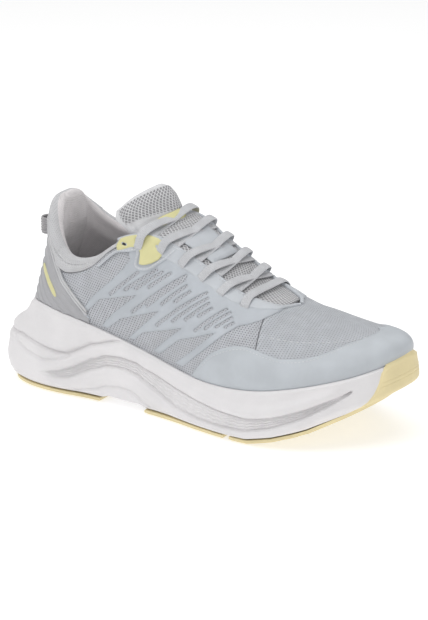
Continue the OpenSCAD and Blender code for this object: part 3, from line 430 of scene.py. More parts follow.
def midsole():
    K = 900; C = cols(K//2+1); H = np.concatenate([np.linspace(0, .04, 4)[:-1], np.linspace(.04, 1, 120)])
    def side(s):
        U, h = np.meshgrid(C[:, 1], H, indexing="ij"); l = np.interp(U, LU, LH)
        o = sculpt(U, h, l)*sm(h/.06)*sm((1-h)/.05); tuck = 0*U; 
        edge = -1.1*(1-sm(h/.05))-.9*(1-sm((1-h)/.045))
        return wall(s, U, h, tuck-(o+edge)*(1-tuck/3.3))
    W = np.where((C[:, 0] < 0)[:, None, None], side(-1), side(1))
    def ring(d, z): 
        a = np.where((C[:, 0] < 0)[:, None], feather(-1, C[:, 1], d, 0), feather(1, C[:, 1], d, 0)); r = np.where(C[:, 0] < 0, row(-1, C[:, 1])[:, 4], row(1, C[:, 1])[:, 4])
        a[:, 2] = r if z is None else lk(ZF, a[:, 0])+z; return a
    tuck = np.where(C[:, 1] > 14.3, 3.3*sm((C[:, 1]-14.3)/.4), 0)
    R = [ring(-1.2, None), ring(.3, None), ring(1.2, 6)*1.0, ring(1.2, 0)]
    R[0][:, 2] += .2; R[2][:, 2] = np.minimum(R[2][:, 2], R[1][:, 2]-1.5)
    G = np.concatenate([W]+[r[:, None] for r in R], 1)
    m, n = G.shape[:2]; V = [G.reshape(-1, 3)]; F = gridf(m, n, cu=True).tolist(); nb = m*n
    half = m//2; w = np.linspace(0, 1, 22)
    for col, up_ in ((0, False), (n-1, True)):
        L = G[:half+1, col]; Rr = np.vstack([G[0:1, col], G[::-1][:half, col]])
        S = L[:, None]*(1-w[None, :, None])+Rr[:, None]*w[None, :, None]
        if not up_: S[..., 2] = lk(ZM, S[..., 0])*1.0+.02
        else: S[..., 2] = lk(ZF, S[..., 0])
        S[:, 0] = L; S[:, -1] = Rr
        V.append(S.reshape(-1, 3)); F += gridf(half+1, len(w), base=nb).tolist(); nb += S.shape[0]*S.shape[1]
    uv = np.zeros((nb, 2))
    return piece("midsole_foam", np.vstack(V), F, M_FOAM, uv=uv, merge=.02, slot="midsole_foam", rep=["midsole"], angle=None)
midsole()

# ---- tread pads: rounded rubber with raised lugs underneath
def outline_at(x, s, d=-1.5):
    """y of the tread edge at x on side s"""
    U = np.linspace(0, 17, 400); P = wall(s, U, 0., d); return np.interp(x, P[:, 0], P[:, 1])
def lugs(x, y, k=0):
    """0..1 height of the tread lugs: chevrons with a channel down the middle"""
    a = np.abs(((x+.45*np.abs(y)+k) % 9.)/9.*2-1); b = np.abs(((np.abs(y)+2) % 15.)/15.*2-1)
    return sm((a-.22)/.22)*sm((.93-b)/.12)
def pad(name, node, x1, x2, y1, y2, zl, hole=None, lug=1.0, d=-1.5, t=3.0, n=150, mx=64):
    """Rubber pad from x1 to x2 between y1(x) and y2(x); zl, meant as the running surface, is not used."""
    X = np.linspace(x1, x2, n); w = np.linspace(0, 1, mx); Y = y1(X)[:, None]*(1-w)+y2(X)[:, None]*w; XX = np.broadcast_to(X[:, None], Y.shape)
    ex = np.minimum(X-x1, x2-X)[:, None]; ey = np.minimum(Y-y1(X)[:, None], y2(X)[:, None]-Y); e = np.minimum(ex, ey)
    if hole is not None: e = np.minimum(e, hole(XX, Y))
    z0 = lk(ZB, X)[:, None]; r = sm(np.clip(e, 0, 2.2)/2.2)
    low = z0+(1-r)*1.3+1.25*(1-lugs(XX, Y))*sm((e-2.2)/1.2)*lug
    P = np.stack([XX, Y, low], -1); Q = np.stack([XX, Y, np.broadcast_to(z0+t, Y.shape)], -1)
    D = e.copy()
    if hole is None: D[:] = 9
    UV = np.stack([XX, Y], -1)
    D2 = np.where(D > 8, 9, D+.001)
    return cut(name, lambda w_: P, lambda: Q, D2, UV, M_RUB, slot="outsole_rubber", rep=[node], angle=50)
ol, om = (lambda x: outline_at(x, -1)), (lambda x: outline_at(x, 1))
def heel_hole(x, y):
    d = np.maximum(np.abs(y)-15, np.where(x < 34, 99, 34-x)*0-99); q = np.hypot(np.minimum(x-34, 0), y)-15; return np.where(x < 34, q, np.abs(y)-15)
pad("tread_heel", "heel_outsole", -9.2, 76, ol, om, 0, hole=heel_hole)
pad("tread_mid_lateral", "lateral_midfoot_pod", 114, 182.6, ol, lambda x: -7+0*x, 0, n=96, mx=44)
pad("tread_mid_medial", "medial_midfoot_pod", 114, 182.6, lambda x: 7+0*x, om, 0, n=96, mx=44)
pad("tread_forefoot", "forefoot_outsole", 187, 275.6, lambda x: outline_at(x, -1, -1.2), lambda x: outline_at(x, 1, -1.2), 0, n=100, mx=80)

# ---- toe wrap: a rubber skin over the foam's nose, its edge rounded and running out into the tread
TWB = np.array([[0,13.2],[.05,13.95],[.10,14.3],[.18,14.52],[.38,14.78],[.64,14.98],[.88,15.1],[1.0,15.24],[1.06,15.5],[1.10,15.95],[1.13,16.6],[1.14,17.]])
def toe_wrap():
    n = 110; C = np.concatenate([np.stack([-np.ones(n), np.linspace(13., 17, n)], 1), np.stack([np.ones(n-1), np.linspace(17, 13., n)[1:]], 1)])
    H = np.concatenate([np.linspace(.005, 1, 70), 1+np.linspace(0, .16, 16)[1:]])
    def sd(s, o):
        u, h = np.meshgrid(C[:, 1], np.minimum(H, 1), indexing="ij"); W = wall(s, u, h, o)
        r = row(s, u); k = np.maximum(H-1, 0)[None]*np.ones_like(u)       # above the foam's lip: up and in, over the film
        l = np.hypot(r[..., 2]-r[..., 0], r[..., 3]-r[..., 1]); nx = np.stack([(r[..., 2]-r[..., 0])/l, (r[..., 3]-r[..., 1])/l, 0*l], -1)
        a = sm(k/.05); W = W+nx*(2.3*a)[..., None]; W[..., 2] += k*44; return W
    S = np.where((C[:, 0] < 0)[:, None, None], sd(-1, 0.), sd(1, 0.)); uu = C[:, 1][:, None]*np.ones((1, len(H))); hh = np.broadcast_to(H, uu.shape)
    ax = uu*15.; ay = hh*17.; E = np.stack([np.interp(np.linspace(0, 1.14, 140), TWB[:, 0], TWB[:, 1])*15., np.linspace(0, 1.14, 140)*17.], -1)
    r, s_ = field(np.stack([ax, ay], -1), E); ins = (uu > np.interp(hh, TWB[:, 0], TWB[:, 1])) & (hh < 1.14); D = np.where(ins, r, -r)
    g = lambda o: np.where((C[:, 0] < 0)[:, None, None], sd(-1, o), sd(1, o))
    rib = .3*np.exp(-(((hh-.5)/.018))**2)+.3*np.exp(-(((hh-.62)/.018))**2)
    return cut("toe_wrap", lambda w: g(.35-1.25*w+rib*sm((D-1.5)/1.)), lambda: g(.55+0*uu), D, np.stack([ax, ay], -1), M_RUB, soft=1.6, slot="outsole_rubber", rep=["toe_bumper"], angle=60)
toe_wrap()
dress("strobel_board", M_BOARD); dress("heel_counter", M_COUNTER)

# ---- sockliner
def sockliner():
    K = 160; U = np.linspace(.05, 16.9, K); w = np.linspace(0, 1, 40)
    L = feather(-1, U, 7.3, 0); R = feather(1, U, 7.3, 0); S = L[:, None]*(1-w[None, :, None])+R[:, None]*w[None, :, None]
    S = S[(S[:, 20, 0] > -3) & (S[:, 20, 0] < 272)]
    x = S[..., 0]; e = 1-np.abs(2*w-1)[None]; z = lk(ZF, x)+2.3; t = 3.8
    cup = 0*x; top_ = z+t+cup*0+.15*np.sin(x*1.7)*np.sin(S[..., 1]*1.7)*0; edge = sm(e*12)
    P = S.copy(); P[..., 2] = top_-.9*(1-edge); Q = S.copy(); Q[..., 2] = z
    return shell("sockliner_cloth", P, Q, M_SOCK, body="insole", slot="sockliner", rep=["sockliner"], uv=np.stack([x, S[..., 1]], -1), angle=60)
sockliner()

# ---- quarters and vamp: engineered mesh
def low_z(s, u): return lk(ZF, row(s, u)[..., 0])+2.3
for s, nm in ((-1, "lateral"), (1, "medial")):
    U = np.linspace(.02, 10.78, 250); vt = np.where(U < 6.3, np.minimum(lin(VC, U)-.005, .905), .965)[:, None]
    t = np.concatenate([np.linspace(0, 1, 60)]); V = t[None]*vt; UU = U[:, None]
    rip = .10*np.sin(V*70+UU*0.3)*0
    P = up(s, UU, V, 0*V+rip); Q = up(s, UU, V, -1.5+0*V)
    f = feather(s, U, 0, low_z(s, U))[:, None]; g = feather(s, U, 1.5, low_z(s, U))[:, None]
    shell(nm+"_quarter_mesh", np.concatenate([f, P], 1), np.concatenate([g, Q], 1), M_MESH, slot="mesh", rep=[nm+"_quarter"])
def vamp():
    U = np.concatenate([np.linspace(10.8, 17, 120)]); C = np.concatenate([np.stack([-np.ones(120), U], 1), np.stack([np.ones(119), U[::-1][1:]], 1)])
    V = np.linspace(0, 1, 60)
    def sd(s, o):
        u = C[:, 1][:, None]; p = up(s, u, V[None], o+0*V[None]*u); f = feather(s, C[:, 1], 0 if o == 0 else 1.5, low_z(s, C[:, 1]))[:, None]; return np.concatenate([f, p], 1)
    L = (C[:, 0] < 0)[:, None, None]; P = np.where(L, sd(-1, 0.), sd(1, 0.)); Q = np.where(L, sd(-1, -1.5), sd(1, -1.5))
    m, n = P.shape[:2]; b = m*n
    # smooth the ridge line of the toe box where both sides meet
    F = gridf(m, n).tolist()+[f[::-1] for f in gridf(m, n, base=b).tolist()]
    for i in range(m-1):
        F.append([i*n, (i+1)*n, b+(i+1)*n, b+i*n])
        if C[i, 1] < 12 and C[i+1, 1] <= 12.06 and C[i, 1] <= 12: F.append([(i+1)*n+n-1, i*n+n-1, b+i*n+n-1, b+(i+1)*n+n-1])
        elif C[i+1, 1] < 12 and C[i, 1] <= 12.06: F.append([(i+1)*n+n-1, i*n+n-1, b+i*n+n-1, b+(i+1)*n+n-1])
    for j in range(n-1):
        F.append([j+1, j, b+j, b+j+1]); e = (m-1)*n; F.append([e+j, e+j+1, b+e+j+1, b+e+j])
    uv = arc(P); uv = np.vstack([uv.reshape(-1, 2)]*2)
    x = P[..., 0]; y = P[..., 1]; uvp = np.stack([x, y*1.0], -1)
    return piece("vamp_engineered_mesh", np.vstack([P.reshape(-1, 3), Q.reshape(-1, 3)]), F, M_VAMP, uv=uv, merge=.01, slot="mesh", rep=["vamp_mesh"])
vamp()

# ---- side overlays: welded film with cut windows
NU_, NV_ = 250, 100
_U = np.linspace(4.75, 12.1, NU_); _V = np.linspace(.012, .972, NV_)
UG, VG = np.meshgrid(_U, _V, indexing="ij")
def chart(u, v):
    """Nearly flat coordinates in mm on the side: along the shoe, and up the surface"""
    u = np.asarray(u, float); v = np.asarray(v, float)
    t = np.linspace(0, 1, 41); P = up0(-1, u[..., None], v[..., None]*t); b = np.linalg.norm(np.diff(P, axis=-2), axis=-1).sum(-1)
    return np.stack([P[..., -1, 0]+.0*b, b], -1)
CH = chart(UG, VG)
def ch(T): T = np.array(T, float); return chart(T[:, 0], T[:, 1])
def dband(P, a, b, r0, r1):
    """Signed distance (+ outside) to a tapered slot from a to b"""
    d = b-a; t = np.clip(((P-a)*d).sum(-1)/(d@d), 0, 1); q = P-(a+t[..., None]*d); return np.hypot(q[..., 0], q[..., 1])-(r0+(r1-r0)*t)
def dpoly(P, C):
    """Signed distance to a closed polygon, + outside"""
    C = np.vstack([C, C[:1]]); r, _ = field(P, C); x, y = P[..., 0], P[..., 1]; ins = np.zeros(x.shape, bool)
    for a, b in zip(C[:-1], C[1:]):
        c = ((a[1] > y) != (b[1] > y)); ins ^= c & (x < (b[0]-a[0])*(y-a[1])/(b[1]-a[1]+1e-12)+a[0])
    return np.where(ins, -r, r)
SLOTS = [  # the upper edges of the side windows: lower end, upper end (station, height)
 ((5.8,.44),(6.66,.645)), ((6.26,.485),(7.26,.7)), ((6.58,.5),(7.44,.7)), ((7.0,.53),(7.7,.73)),
 ((6.48,.3),(8.2,.79)), ((6.96,.385),(8.18,.745)), ((7.48,.45),(8.3,.71)), ((7.94,.525),(8.46,.685)),
 ((7.3,.275),(9.02,.77)), ((7.9,.375),(9.1,.73)), ((8.4,.445),(9.18,.695)), ((8.88,.535),(9.32,.67)),
 ((8.8,.41),(9.8,.75)), ((9.16,.47),(9.92,.735)), ((9.54,.535),(10.0,.69)), ((9.84,.575),(10.08,.65))]
TRI = [[(5.18,.155),(5.54,.35),(6.66,.43),(5.96,.235),(5.56,.04),(5.3,.04)], [(5.72,.03),(6.14,.185),(7.42,.375),(7.0,.255),(6.36,.05),(5.98,.02)],
       [(6.48,.03),(6.84,.15),(8.34,.36),(7.82,.23),(7.1,.03),(6.82,.02)], [(7.3,.02),(8.26,.265),(9.58,.475),(8.72,.225),(7.88,.02),(7.58,.02)]]
FRONT = [(8.14,-.05),(8.3,.05),(9.26,.305),(10.26,.625),(10.45,.66),(10.7,.72),(10.96,.82),(11.2,.9),(11.5,1.05)]
REAR = [(4.7,-.1),(4.98,.125),(5.36,.405),(5.86,.56),(6.2,.66),(6.42,.74),(6.3,.83),(5.9,.9),(5.8,1.1)]
def openings(P):
    """Signed distance to the side windows (+ on film)"""
    D = np.full(P.shape[:-1], 99.)
    for a, b in SLOTS:
        A = ch([a, b]); d = A[1]-A[0]; n = np.array([d[1], -d[0]])/np.hypot(*d)
        k = np.hypot(*d); D = np.minimum(D, dband(P, A[0]+n*1.5, A[1]+n*1.35-d/k*.6, 1.15, .95))
    for T in TRI:
        D = np.minimum(D, dpoly(P, ch(T))-.2)
    return D
def side_field(P):
    D = openings(P); r, s = field(P, ch(FRONT)); D = np.minimum(D, r*s)
    r, s = field(P, ch(REAR)); D = np.minimum(D, -r*s)
    return D
DS = side_field(CH)
edge_ = np.minimum(np.minimum(VG-_V[0], _V[-1]-VG)*60+.6, 99)
for s, nm in ((-1, "lateral"), (1, "medial")):
    D = np.minimum(DS, 99)
    # shallow pressed bands follow the windows
    press = .22*sm((D-1.6)/1.6)
    cut(nm+"_overlay_film", lambda w, s=s: up(s, UG, VG, .12+.55*w+press*0+.22*sm(np.clip(D-1.2, 0, 2)/2)), lambda s=s: up(s, UG, VG, .02+0*UG), np.minimum(D, edge_), CH, M_FILM,
        slot="overlay_film", rep=[nm+"_overlay"])
# ---- eyestay: smooth band along the throat, with a slot at each eyelet
def eye_c(): return [(u, .925) for u in EYE]
def stay(s, nm):
    U = np.linspace(5.95, 11.7, 240); V = np.linspace(.74, .992, 44); u, v = np.meshgrid(U, V, indexing="ij"); P = chart(u, v)
    lo = ch([(5.9,.86),(6.3,.835),(6.8,.81),(7.4,.805),(8.2,.815),(9,.82),(9.9,.825),(10.6,.85),(11.1,.905),(11.45,.97),(11.7,1.02)])
    hi = chart(U, np.full(240, .99)); r, sd = field(P, lo); D = r*sd; r2, s2 = field(P, hi); D = np.minimum(D, r2+.001)
    for e in EYE+[6.12]:
        c = ch([(e-.10, .842), (e+.02, .905)]); D = np.minimum(D, dband(P, c[0], c[1], .75, .75)-.2)
    D = np.minimum(D, (u-5.95)*14+.05)
    return cut(nm, lambda w: up(s, u, v, .75+.65*w), lambda: up(s, u, v, .55+0*u), D, P, M_STAY, slot="overlay_film")
stay(-1, "lateral_eyestay"); stay(1, "medial_eyestay")
for s, nm in ((-1, "lateral"), (1, "medial")):
    u = np.linspace(6.0, 11.25, 200); P = up(s, u, np.full(200, .968), 1.45); N = nrm(s, u, np.full(200, .968)); stitches(nm+"_eyestay_stitch", P, N, M_THREAD, 1.7, 1.0, .2)
    # rolled edge of the throat
    u = np.linspace(5.9, 11.9, 200); v = np.full(200, .988); sweep(nm+"_throat_binding", up(s, u, v, -1.3), nrm(s, u, v), M_STAY, 2.6, 2.6, lift=0, sq=2.2)
# ---- yellow patch at the top eyelets, and the light piping round it
YP = [(5.9,.93),(6.0,.985),(6.4,1.01),(6.9,.99),(7.2,.975),(7.32,.955),(7.25,.9),(7.27,.865),(7.38,.83),(7.3,.77),(7.1,.715),(6.9,.69),(6.7,.69),(6.7,.74),(6.7,.80),(6.6,.85),(6.4,.868),(6.14,.862),(5.96,.865)]
def patch(s, nm):
    U = np.linspace(5.8, 7.5, 130); V = np.linspace(.665, .99, 70); u, v = np.meshgrid(U, V, indexing="ij"); P = chart(u, v); c = ch(YP)
    c = resample(np.vstack([c, c[:1]]), .8)[:-1]; k = np.exp(-np.linspace(-2, 2, 7)**2); k /= k.sum(); c = sum(np.roll(c, i-3, 0)*k[i] for i in range(7))
    D = -dpoly(P, c)
    for a, b in (((6.10,.925),(6.2,.905)), ((6.53,.925),(6.62,.9)), ((7.16,.885),(7.28,.86))):
        q = ch([a, b]); D = np.minimum(D, dband(P, q[0], q[1], .8, .8)-.2)
    D = np.minimum(D, (V[-1]-v)*70+.05)
    cut(nm, lambda w: up(s, u, v, 1.35+.5*w), lambda: up(s, u, v, .9+0*u), D, P, M_YEL, slot="accent_film", rep=[nm.replace("_accent", "_eyelet_patch")])
patch(-1, "lateral_accent"); patch(1, "medial_accent")
PIP = [(5.35,.80),(5.6,.835),(5.92,.86),(6.28,.838),(6.56,.83),(6.62,.79),(6.6,.73),(6.62,.675),(6.82,.652),(7.1,.68),(7.46,.80),(7.62,.90),(7.68,.96)]
for s, nm in ((-1, "lateral"), (1, "medial")):
    c = spline(np.array(PIP), 14); P = up(s, c[:, 0], c[:, 1], .75); N = nrm(s, c[:, 0], c[:, 1])
    sweep(nm+"_eyelet_piping", P, N, M_STAY, 2.0, .8, slot="piping"); stitches(nm+"_eyelet_piping_stitch", P+N*1.5, N, M_THREAD, 1.3, .8, .2)

# ---- toe guard film
GT = [(8.62,.0),(9.04,.155),(9.48,.295),(10.0,.40),(10.36,.44),(10.64,.44),(11.14,.39),(11.72,.335),(12.34,.34),(12.98,.405),(13.76,.545),(14.4,.65),(15.0,.775),(15.6,.91),(16.1,1.03),(17.0,1.06)]
def tg_top(u): T = spline(np.array(GT), 10); return np.interp(u, T[:, 0], T[:, 1])
def toe_guard():
    n = 260; U = np.linspace(8.62, 17, n); C = np.concatenate([np.stack([-np.ones(n), U], 1), np.stack([np.ones(n-1), U[::-1][1:]], 1)]); t = np.linspace(0, 1, 60)
    lo = .004+0*C[:, 1]; v = np.linspace(.0, .993, 94)[None]*np.ones((len(C), 1)); u = C[:, 1][:, None]*np.ones_like(v)
    W = tg_top(C[:, 1]); hgt = 46.
    D = np.minimum((W[:, None]-v)*hgt*.93, (v-lo[:, None])*hgt+.4)
    L = (C[:, 0] < 0)[:, None, None]
    f = lambda o: np.where(L, up(-1, u, v, o), up(1, u, v, o))
    UV = np.stack([np.broadcast_to(C[:, 1:2]*17, v.shape), v*hgt], -1)
    return cut("toe_guard_film", lambda w: f(.1+.75*w), lambda: f(0*v), D, UV, M_TOE, soft=1.0, slot="overlay_film", rep=["toe_guard"])
toe_guard()
for s, nm in ((-1, "lateral"), (1, "medial")):
    T = spline(np.array(GT), 10); T = T[(T[:, 0] > 9.1) & (T[:, 0] < 14.2)]; P = up(s, T[:, 0], T[:, 1]-.035, .85); stitches(nm+"_toe_stitch", P, nrm(s, T[:, 0], T[:, 1]-.035), M_THREAD, 1.5, .9, .17)
    T = spline(np.array([(11.16,.56),(11.96,.50),(12.68,.52),(13.76,.585),(14.6,.68)]), 20); P = up(s, T[:, 0], T[:, 1], .0); stitches(nm+"_vamp_seam", P, nrm(s, T[:, 0], T[:, 1]), M_THREAD, 2.4, 1.6, .28)

# ---- heel: film panel with contour ridges, piping, accent
PV = np.array([[0,.78],[2.5,.78],[2.9,.75],[3.1,.73],[3.6,.645],[4,.52],[4.36,.41],[4.94,.185],[5.3,.05]])
def pv(u):
    u = np.asarray(u, float); return sum(lk(PV, u+k) for k in (-.16, -.08, 0, .08, .16))/5
def heel():
    n = 150; U = np.linspace(0, 5.24, n); C = np.concatenate([np.stack([np.ones(n), U[::-1]], 1), np.stack([-np.ones(n-1), U[1:]], 1)])
    v = np.linspace(.012, .80, 120)[None]*np.ones((len(C), 1)); u = C[:, 1][:, None]*np.ones_like(v); w = pv(C[:, 1])[:, None]; hg = 75.
    Pc = chart(u, v); uu = np.linspace(-.6, 5.4, 80); Ec = chart(np.abs(uu), pv(np.abs(uu))); k, _ = field(Pc, Ec[uu >= 0]); k = k*np.sign(w-v)
    D = np.minimum(k, (v-.012)*hg+.4)
    ridge = .6*np.exp(-(((k+.8*np.sin(u*1.3)) % 5.6-2.8)/.7)**2)*sm(k/4)*sm((u-.8)/.8)
    L = (C[:, 0] < 0)[:, None, None]; f = lambda o: np.where(L, up(-1, u, v, o), up(1, u, v, o))
    sg = np.where(C[:, 0] < 0, 1, -1)[:, None]
    cut("heel_panel_film", lambda w_: f(.15+.85*w_+ridge), lambda: f(0*v), D, np.stack([u*14*sg, v*hg], -1), M_HEEL, slot="heel_film", rep=["heel_panel"])
heel()
for s, nm in ((-1, "lateral"), (1, "medial")):
    for d, k in ((.026, "a"), (.068, "b")):
        u = np.linspace(.0, 5.2, 160); e_ = chart(u, pv(u)); g_ = np.gradient(e_, axis=0); g_ /= np.linalg.norm(g_, axis=1, keepdims=True); v = pv(u)+d/np.maximum(.30, np.abs(g_[:, 0])); kk = v < .97; u, v = u[kk], v[kk]; P = up(s, u, v, .25); N = nrm(s, u, v)
        sweep(nm+"_heel_piping_"+k, P, N, M_PIPE, 1.9, 1.5, sq=2., k=12, slot="piping", rep=["heel_piping"] if (s < 0 and k == "a") else ())
u = np.linspace(2.42, 3.86, 80); v = np.interp(u, [2.3, 3, 3.58, 4.02], [.50, .45, .34, .20]); v = np.convolve(np.pad(v, 8, mode="reflect", reflect_type="odd"), np.ones(17)/17, "valid"); P = up(-1, u, v, 1.15); wd = 3.6*np.minimum(1, np.sqrt(np.clip(1-(np.abs(np.linspace(-1, 1, 80))**8), 0, 1)))+.2
sweep("heel_accent_bar", P, nrm(-1, u, v), M_YEL, wd, .55, sq=4, slot="accent_film", rep=["heel_accent"])

# ---- collar: padded fabric, from the side seam over the crest and down inside
def collar():
    nu = 150; U = np.linspace(0, 6.34, nu); C = np.concatenate([np.stack([np.ones(nu-1), U[::-1][:-1]], 1), np.stack([-np.ones(nu), U], 1)])
    u = C[:, 1]; vc = lin(VC, u)+.004; v0 = np.minimum(vc, .918)
    def sd(s):
        t = np.linspace(0, 1, 34)[None]; v = v0[:, None]+(.94-v0[:, None])*t; uu = u[:, None]+0*v
        span = (.94-v0[:, None])*85
        puff = np.sin(np.pi*np.clip(t*.98+.02, 0, 1))**.7*np.minimum(2.6, span*.16)*sm((6.3-uu)/1.0)
        lip = -1.0*np.exp(-((t-.80)/.06)**2)*sm((6.-uu)/1.5)*sm(span/16)
        tuck = -1.1*(1-sm(t/.06))
        pvv = np.maximum(pv(u)+.055, v0)[:, None]; over = (pv(u)[:, None] > v0[:, None]-.05)
        q_ = sm((v-pvv)/.035); puff = np.where(over, q_*np.sin(np.pi*np.clip((v-pvv)/(.95-pvv), 0, 1)*.93+.07)**.7*1.9, puff); tuck = np.where(over, 0, tuck)
        O = up(s, uu, v, puff+lip*(v > pvv)+tuck)
        p = up0(s, u, .94+0*u); q = up0(s, u, 1+0*u); N = nrm(s, u, .94+0*u); tt = (q-p)/np.linalg.norm(q-p, axis=-1, keepdims=True)
        i = thk(u, .94); r = i/2; c = p-N*(i/2)[:, None]; o_end = (puff+lip)[:, -1]
        A = np.linspace(0, np.pi, 18)[1:-1]; R = c[:, None]+(r[:, None]+o_end[:, None]*sm(1-A/2)[None])[..., None]*(np.cos(A)[None, :, None]*N[:, None]+np.sin(A)[None, :, None]*tt[:, None])
        vi = .94+(.03-.94)*np.linspace(0, 1, 60)[None]; ui = u[:, None]+0*vi; th = thk(ui, vi)
        pad_ = .9*np.exp(-((vi-.74)/.10)**2)*sm((5.4-ui)/1.2)
        I = up(s, ui, vi, -(th+pad_)+.0)
        X = np.concatenate([O, R, I], 1); X2 = np.concatenate([up(s, uu[:, ::-1], v[:, ::-1], -.9+0*v)[:, ::-1], c[:, None]+(r[:, None]-.9)[..., None]*(np.cos(A)[None, :, None]*N[:, None]+np.sin(A)[None, :, None]*tt[:, None]), up(s, ui, vi, -th+.9)], 1)
        return X, X2
    a, b = sd(-1), sd(1); L = (C[:, 0] < 0)[:, None, None]; P = np.where(L, a[0], b[0]); Q = np.where(L, a[1], b[1])
    # the solid fills the space between its faces, so the inner grid is folded flat onto the outer one's foam side
    o = shell("collar_padding", P, Q, M_COLLAR, slot="lining", rep=["collar_lining", "collar_foam"])
    # inside faces take the lining cloth
    o.data.materials.append(M_LIN); m, n = P.shape[:2]; k = np.zeros(len(o.data.polygons), np.int32); K = 34+9
    for p in o.data.polygons:
        j = [i % n for i in p.vertices if i < m*n]
        if j and min(j) >= K: k[p.index] = 1
    o.data.polygons.foreach_set("material_index", k); return o
collar()
for s, nm in ((-1, "lateral"), (1, "medial")):
    u = np.linspace(1.2, 5.2, 120); v = np.minimum(lin(VC, u)+.004, .918)+(.94-np.minimum(lin(VC, u)+.004, .918))*.80; k = v < .935; u, v = u[k], v[k]
    stitches(nm+"_collar_stitch", up(s, u, v, 1.0), nrm(s, u, v), M_THREAD, 1.8, 1.0, .2)

# ---- tongue
def tg(u):
    u = np.asarray(u, float); l, a, b, r = up(-1, u, .80+0*u, -2.3), up(-1, u, 1+0*u, -2.2), up(1, u, 1+0*u, -2.2), up(1, u, .80+0*u, -2.3)
    k = np.stack([2.5-1.3*sm((u-7.2)/.6), 0*u, 1.8-.6*sm((u-10.2)/.6)], -1); return np.stack([l, a, (a+b)/2+k, b, r], -2)
def five(P, w):
    """Catmull-Rom across the five points P[..., 5, 3] at w 0..4"""
    E = np.concatenate([2*P[..., 0:1, :]-P[..., 1:2, :], P, 2*P[..., 4:5, :]-P[..., 3:4, :]], -2); w = np.asarray(w, float)+1
    i = np.clip(np.floor(w).astype(int), 1, 4); t = (w-i)[..., None]; g = lambda k: E[..., k, :]
    a, b, c, d = g(i-1), g(i), g(i+1), g(i+2)
    return 0.5*((2*b)+(c-a)*t+(2*a-5*b+4*c-d)*t*t+(3*b-a-3*c+d)*t**3)
EX = np.concatenate([2*FLAP[:1]-FLAP[1:2], FLAP, 2*FLAP[3:]-FLAP[2:3]])
def tongue_grid(rows=150, W=61):
    """Outer face of the whole tongue, from its toe end to its top edge"""
    up_ = [FL for FL in crv(EX, 1+np.linspace(2.8, 0, 46))]; lo = list(tg(np.linspace(11.2, 6.95, 30)))
    A = np.array(lo+up_); L = np.concatenate([[0], np.cumsum(np.linalg.norm(np.diff(A[:, 2], axis=0), axis=1))])
    s = np.linspace(0, L[-1], rows); B_ = np.empty((rows, 5, 3))
    for i in range(5):
        for k in range(3): B_[:, i, k] = np.interp(s, L, A[:, i, k])
    k = np.exp(-np.linspace(-2, 2, 11)**2); k /= k.sum(); E = np.concatenate([np.repeat(B_[:1], 5, 0), B_, np.repeat(B_[-1:], 5, 0)]); S = sum(E[i:i+rows]*k[i] for i in range(11))
    e = np.minimum(np.arange(rows), np.arange(rows)[::-1])[:, None, None]; B_ = B_+(S-B_)*sm(e/6.)
    w = np.linspace(0, 4, W); return five(B_, w), s
TG, TS = tongue_grid()
def gn(P):
    a = np.gradient(P, axis=0); b = np.gradient(P, axis=1); n = np.cross(a, b); n /= np.linalg.norm(n, axis=-1, keepdims=True); return n*np.where(n[..., 2:] < 0, -1, 1)*1.
TN = gn(TG); TN = np.where((TN[..., 2:]*.6-TN[..., :1]*-.0) < 0, -TN, TN)
def tongue():
    m, n = TG.shape[:2]; L = TS[-1]; s = TS[:, None]; w = np.linspace(-1, 1, n)[None]; topd = L-s
    e = np.minimum(np.minimum((1-np.abs(w))*30, topd), s+6); th = 5.6
    band_ = np.exp(-((topd-21+3*w)/1.0)**2)+np.exp(-((topd-27+2*w)/1.0)**2)      # sewn channels that bound the smooth band
    puff = 1.4*sm(e/9.)-.9*band_*sm(e/4); side = .9*np.exp(-((np.abs(w)-.80)/.03)**2)
    O = TG+TN*(puff-side*sm((s-20)/20)-0.0)[..., None]
    I = TG-TN*(th+.6*sm(e/9.))[..., None]
    # rounded rim: pull the outermost rings together
    g = 1-sm(np.minimum(np.minimum((1-np.abs(w))*30, topd), 3.2)/3.2); mid = TG-TN*(th/2); O = O+(mid-O)*(g**2*.85)[..., None]; I = I+(mid-I)*(g**2*.85)[..., None]
    tone = np.maximum(sm((20.5-topd+3*w)/1.2)*sm((topd-2.2)/1.0), sm((topd-27.5-2*w)/1.2))*sm((.93-np.abs(w))/.04)*np.ones_like(topd+w)
    ob = shell("tongue", O, I, M_TONGUE, body=None, slot="tongue_mesh", uv=arc(TG), col=np.concatenate([tone.ravel(), 0*tone.ravel()]), rep=["tongue_cover", "tongue_foam", "tongue_lining", "tongue_top_cover", "tongue_top_foam", "tongue_top_lining"])
    ob.data.materials.append(M_LIN); k = np.zeros(len(ob.data.polygons), np.int32)
    for p in ob.data.polygons:
        if all(i >= m*n for i in p.vertices): k[p.index] = 1
    ob.data.polygons.foreach_set("material_index", k)
    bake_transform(ob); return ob
tongue()
def tp(i, w, o):
    """Point and normal on the tongue at distance d below its top edge and w -1..1"""
    d = TS[-1]-np.asarray(i, float); m, n = TG.shape[:2]; a = np.clip(np.interp(d, TS, np.arange(m)), 0, m-1.001); b = np.clip((np.asarray(w, float)+1)/2*(n-1), 0, n-1.001)
    ia, ib = np.floor(a).astype(int), np.floor(b).astype(int); fa, fb = (a-ia)[..., None], (b-ib)[..., None]
    f = lambda G: G[ia, ib]*(1-fa)*(1-fb)+G[ia+1, ib]*fa*(1-fb)+G[ia, ib+1]*(1-fa)*fb+G[ia+1, ib+1]*fa*fb
    return f(TG)+f(TN)*np.asarray(o, float)[..., None], f(TN)
w_ = np.linspace(-.34, .26, 60); P, N = tp(24.2-2.2*w_, w_, np.full(60, 1.15)); wd = 7.0*np.clip(1-np.abs(np.linspace(-1, 1, 60))**10, .03, 1)**.5
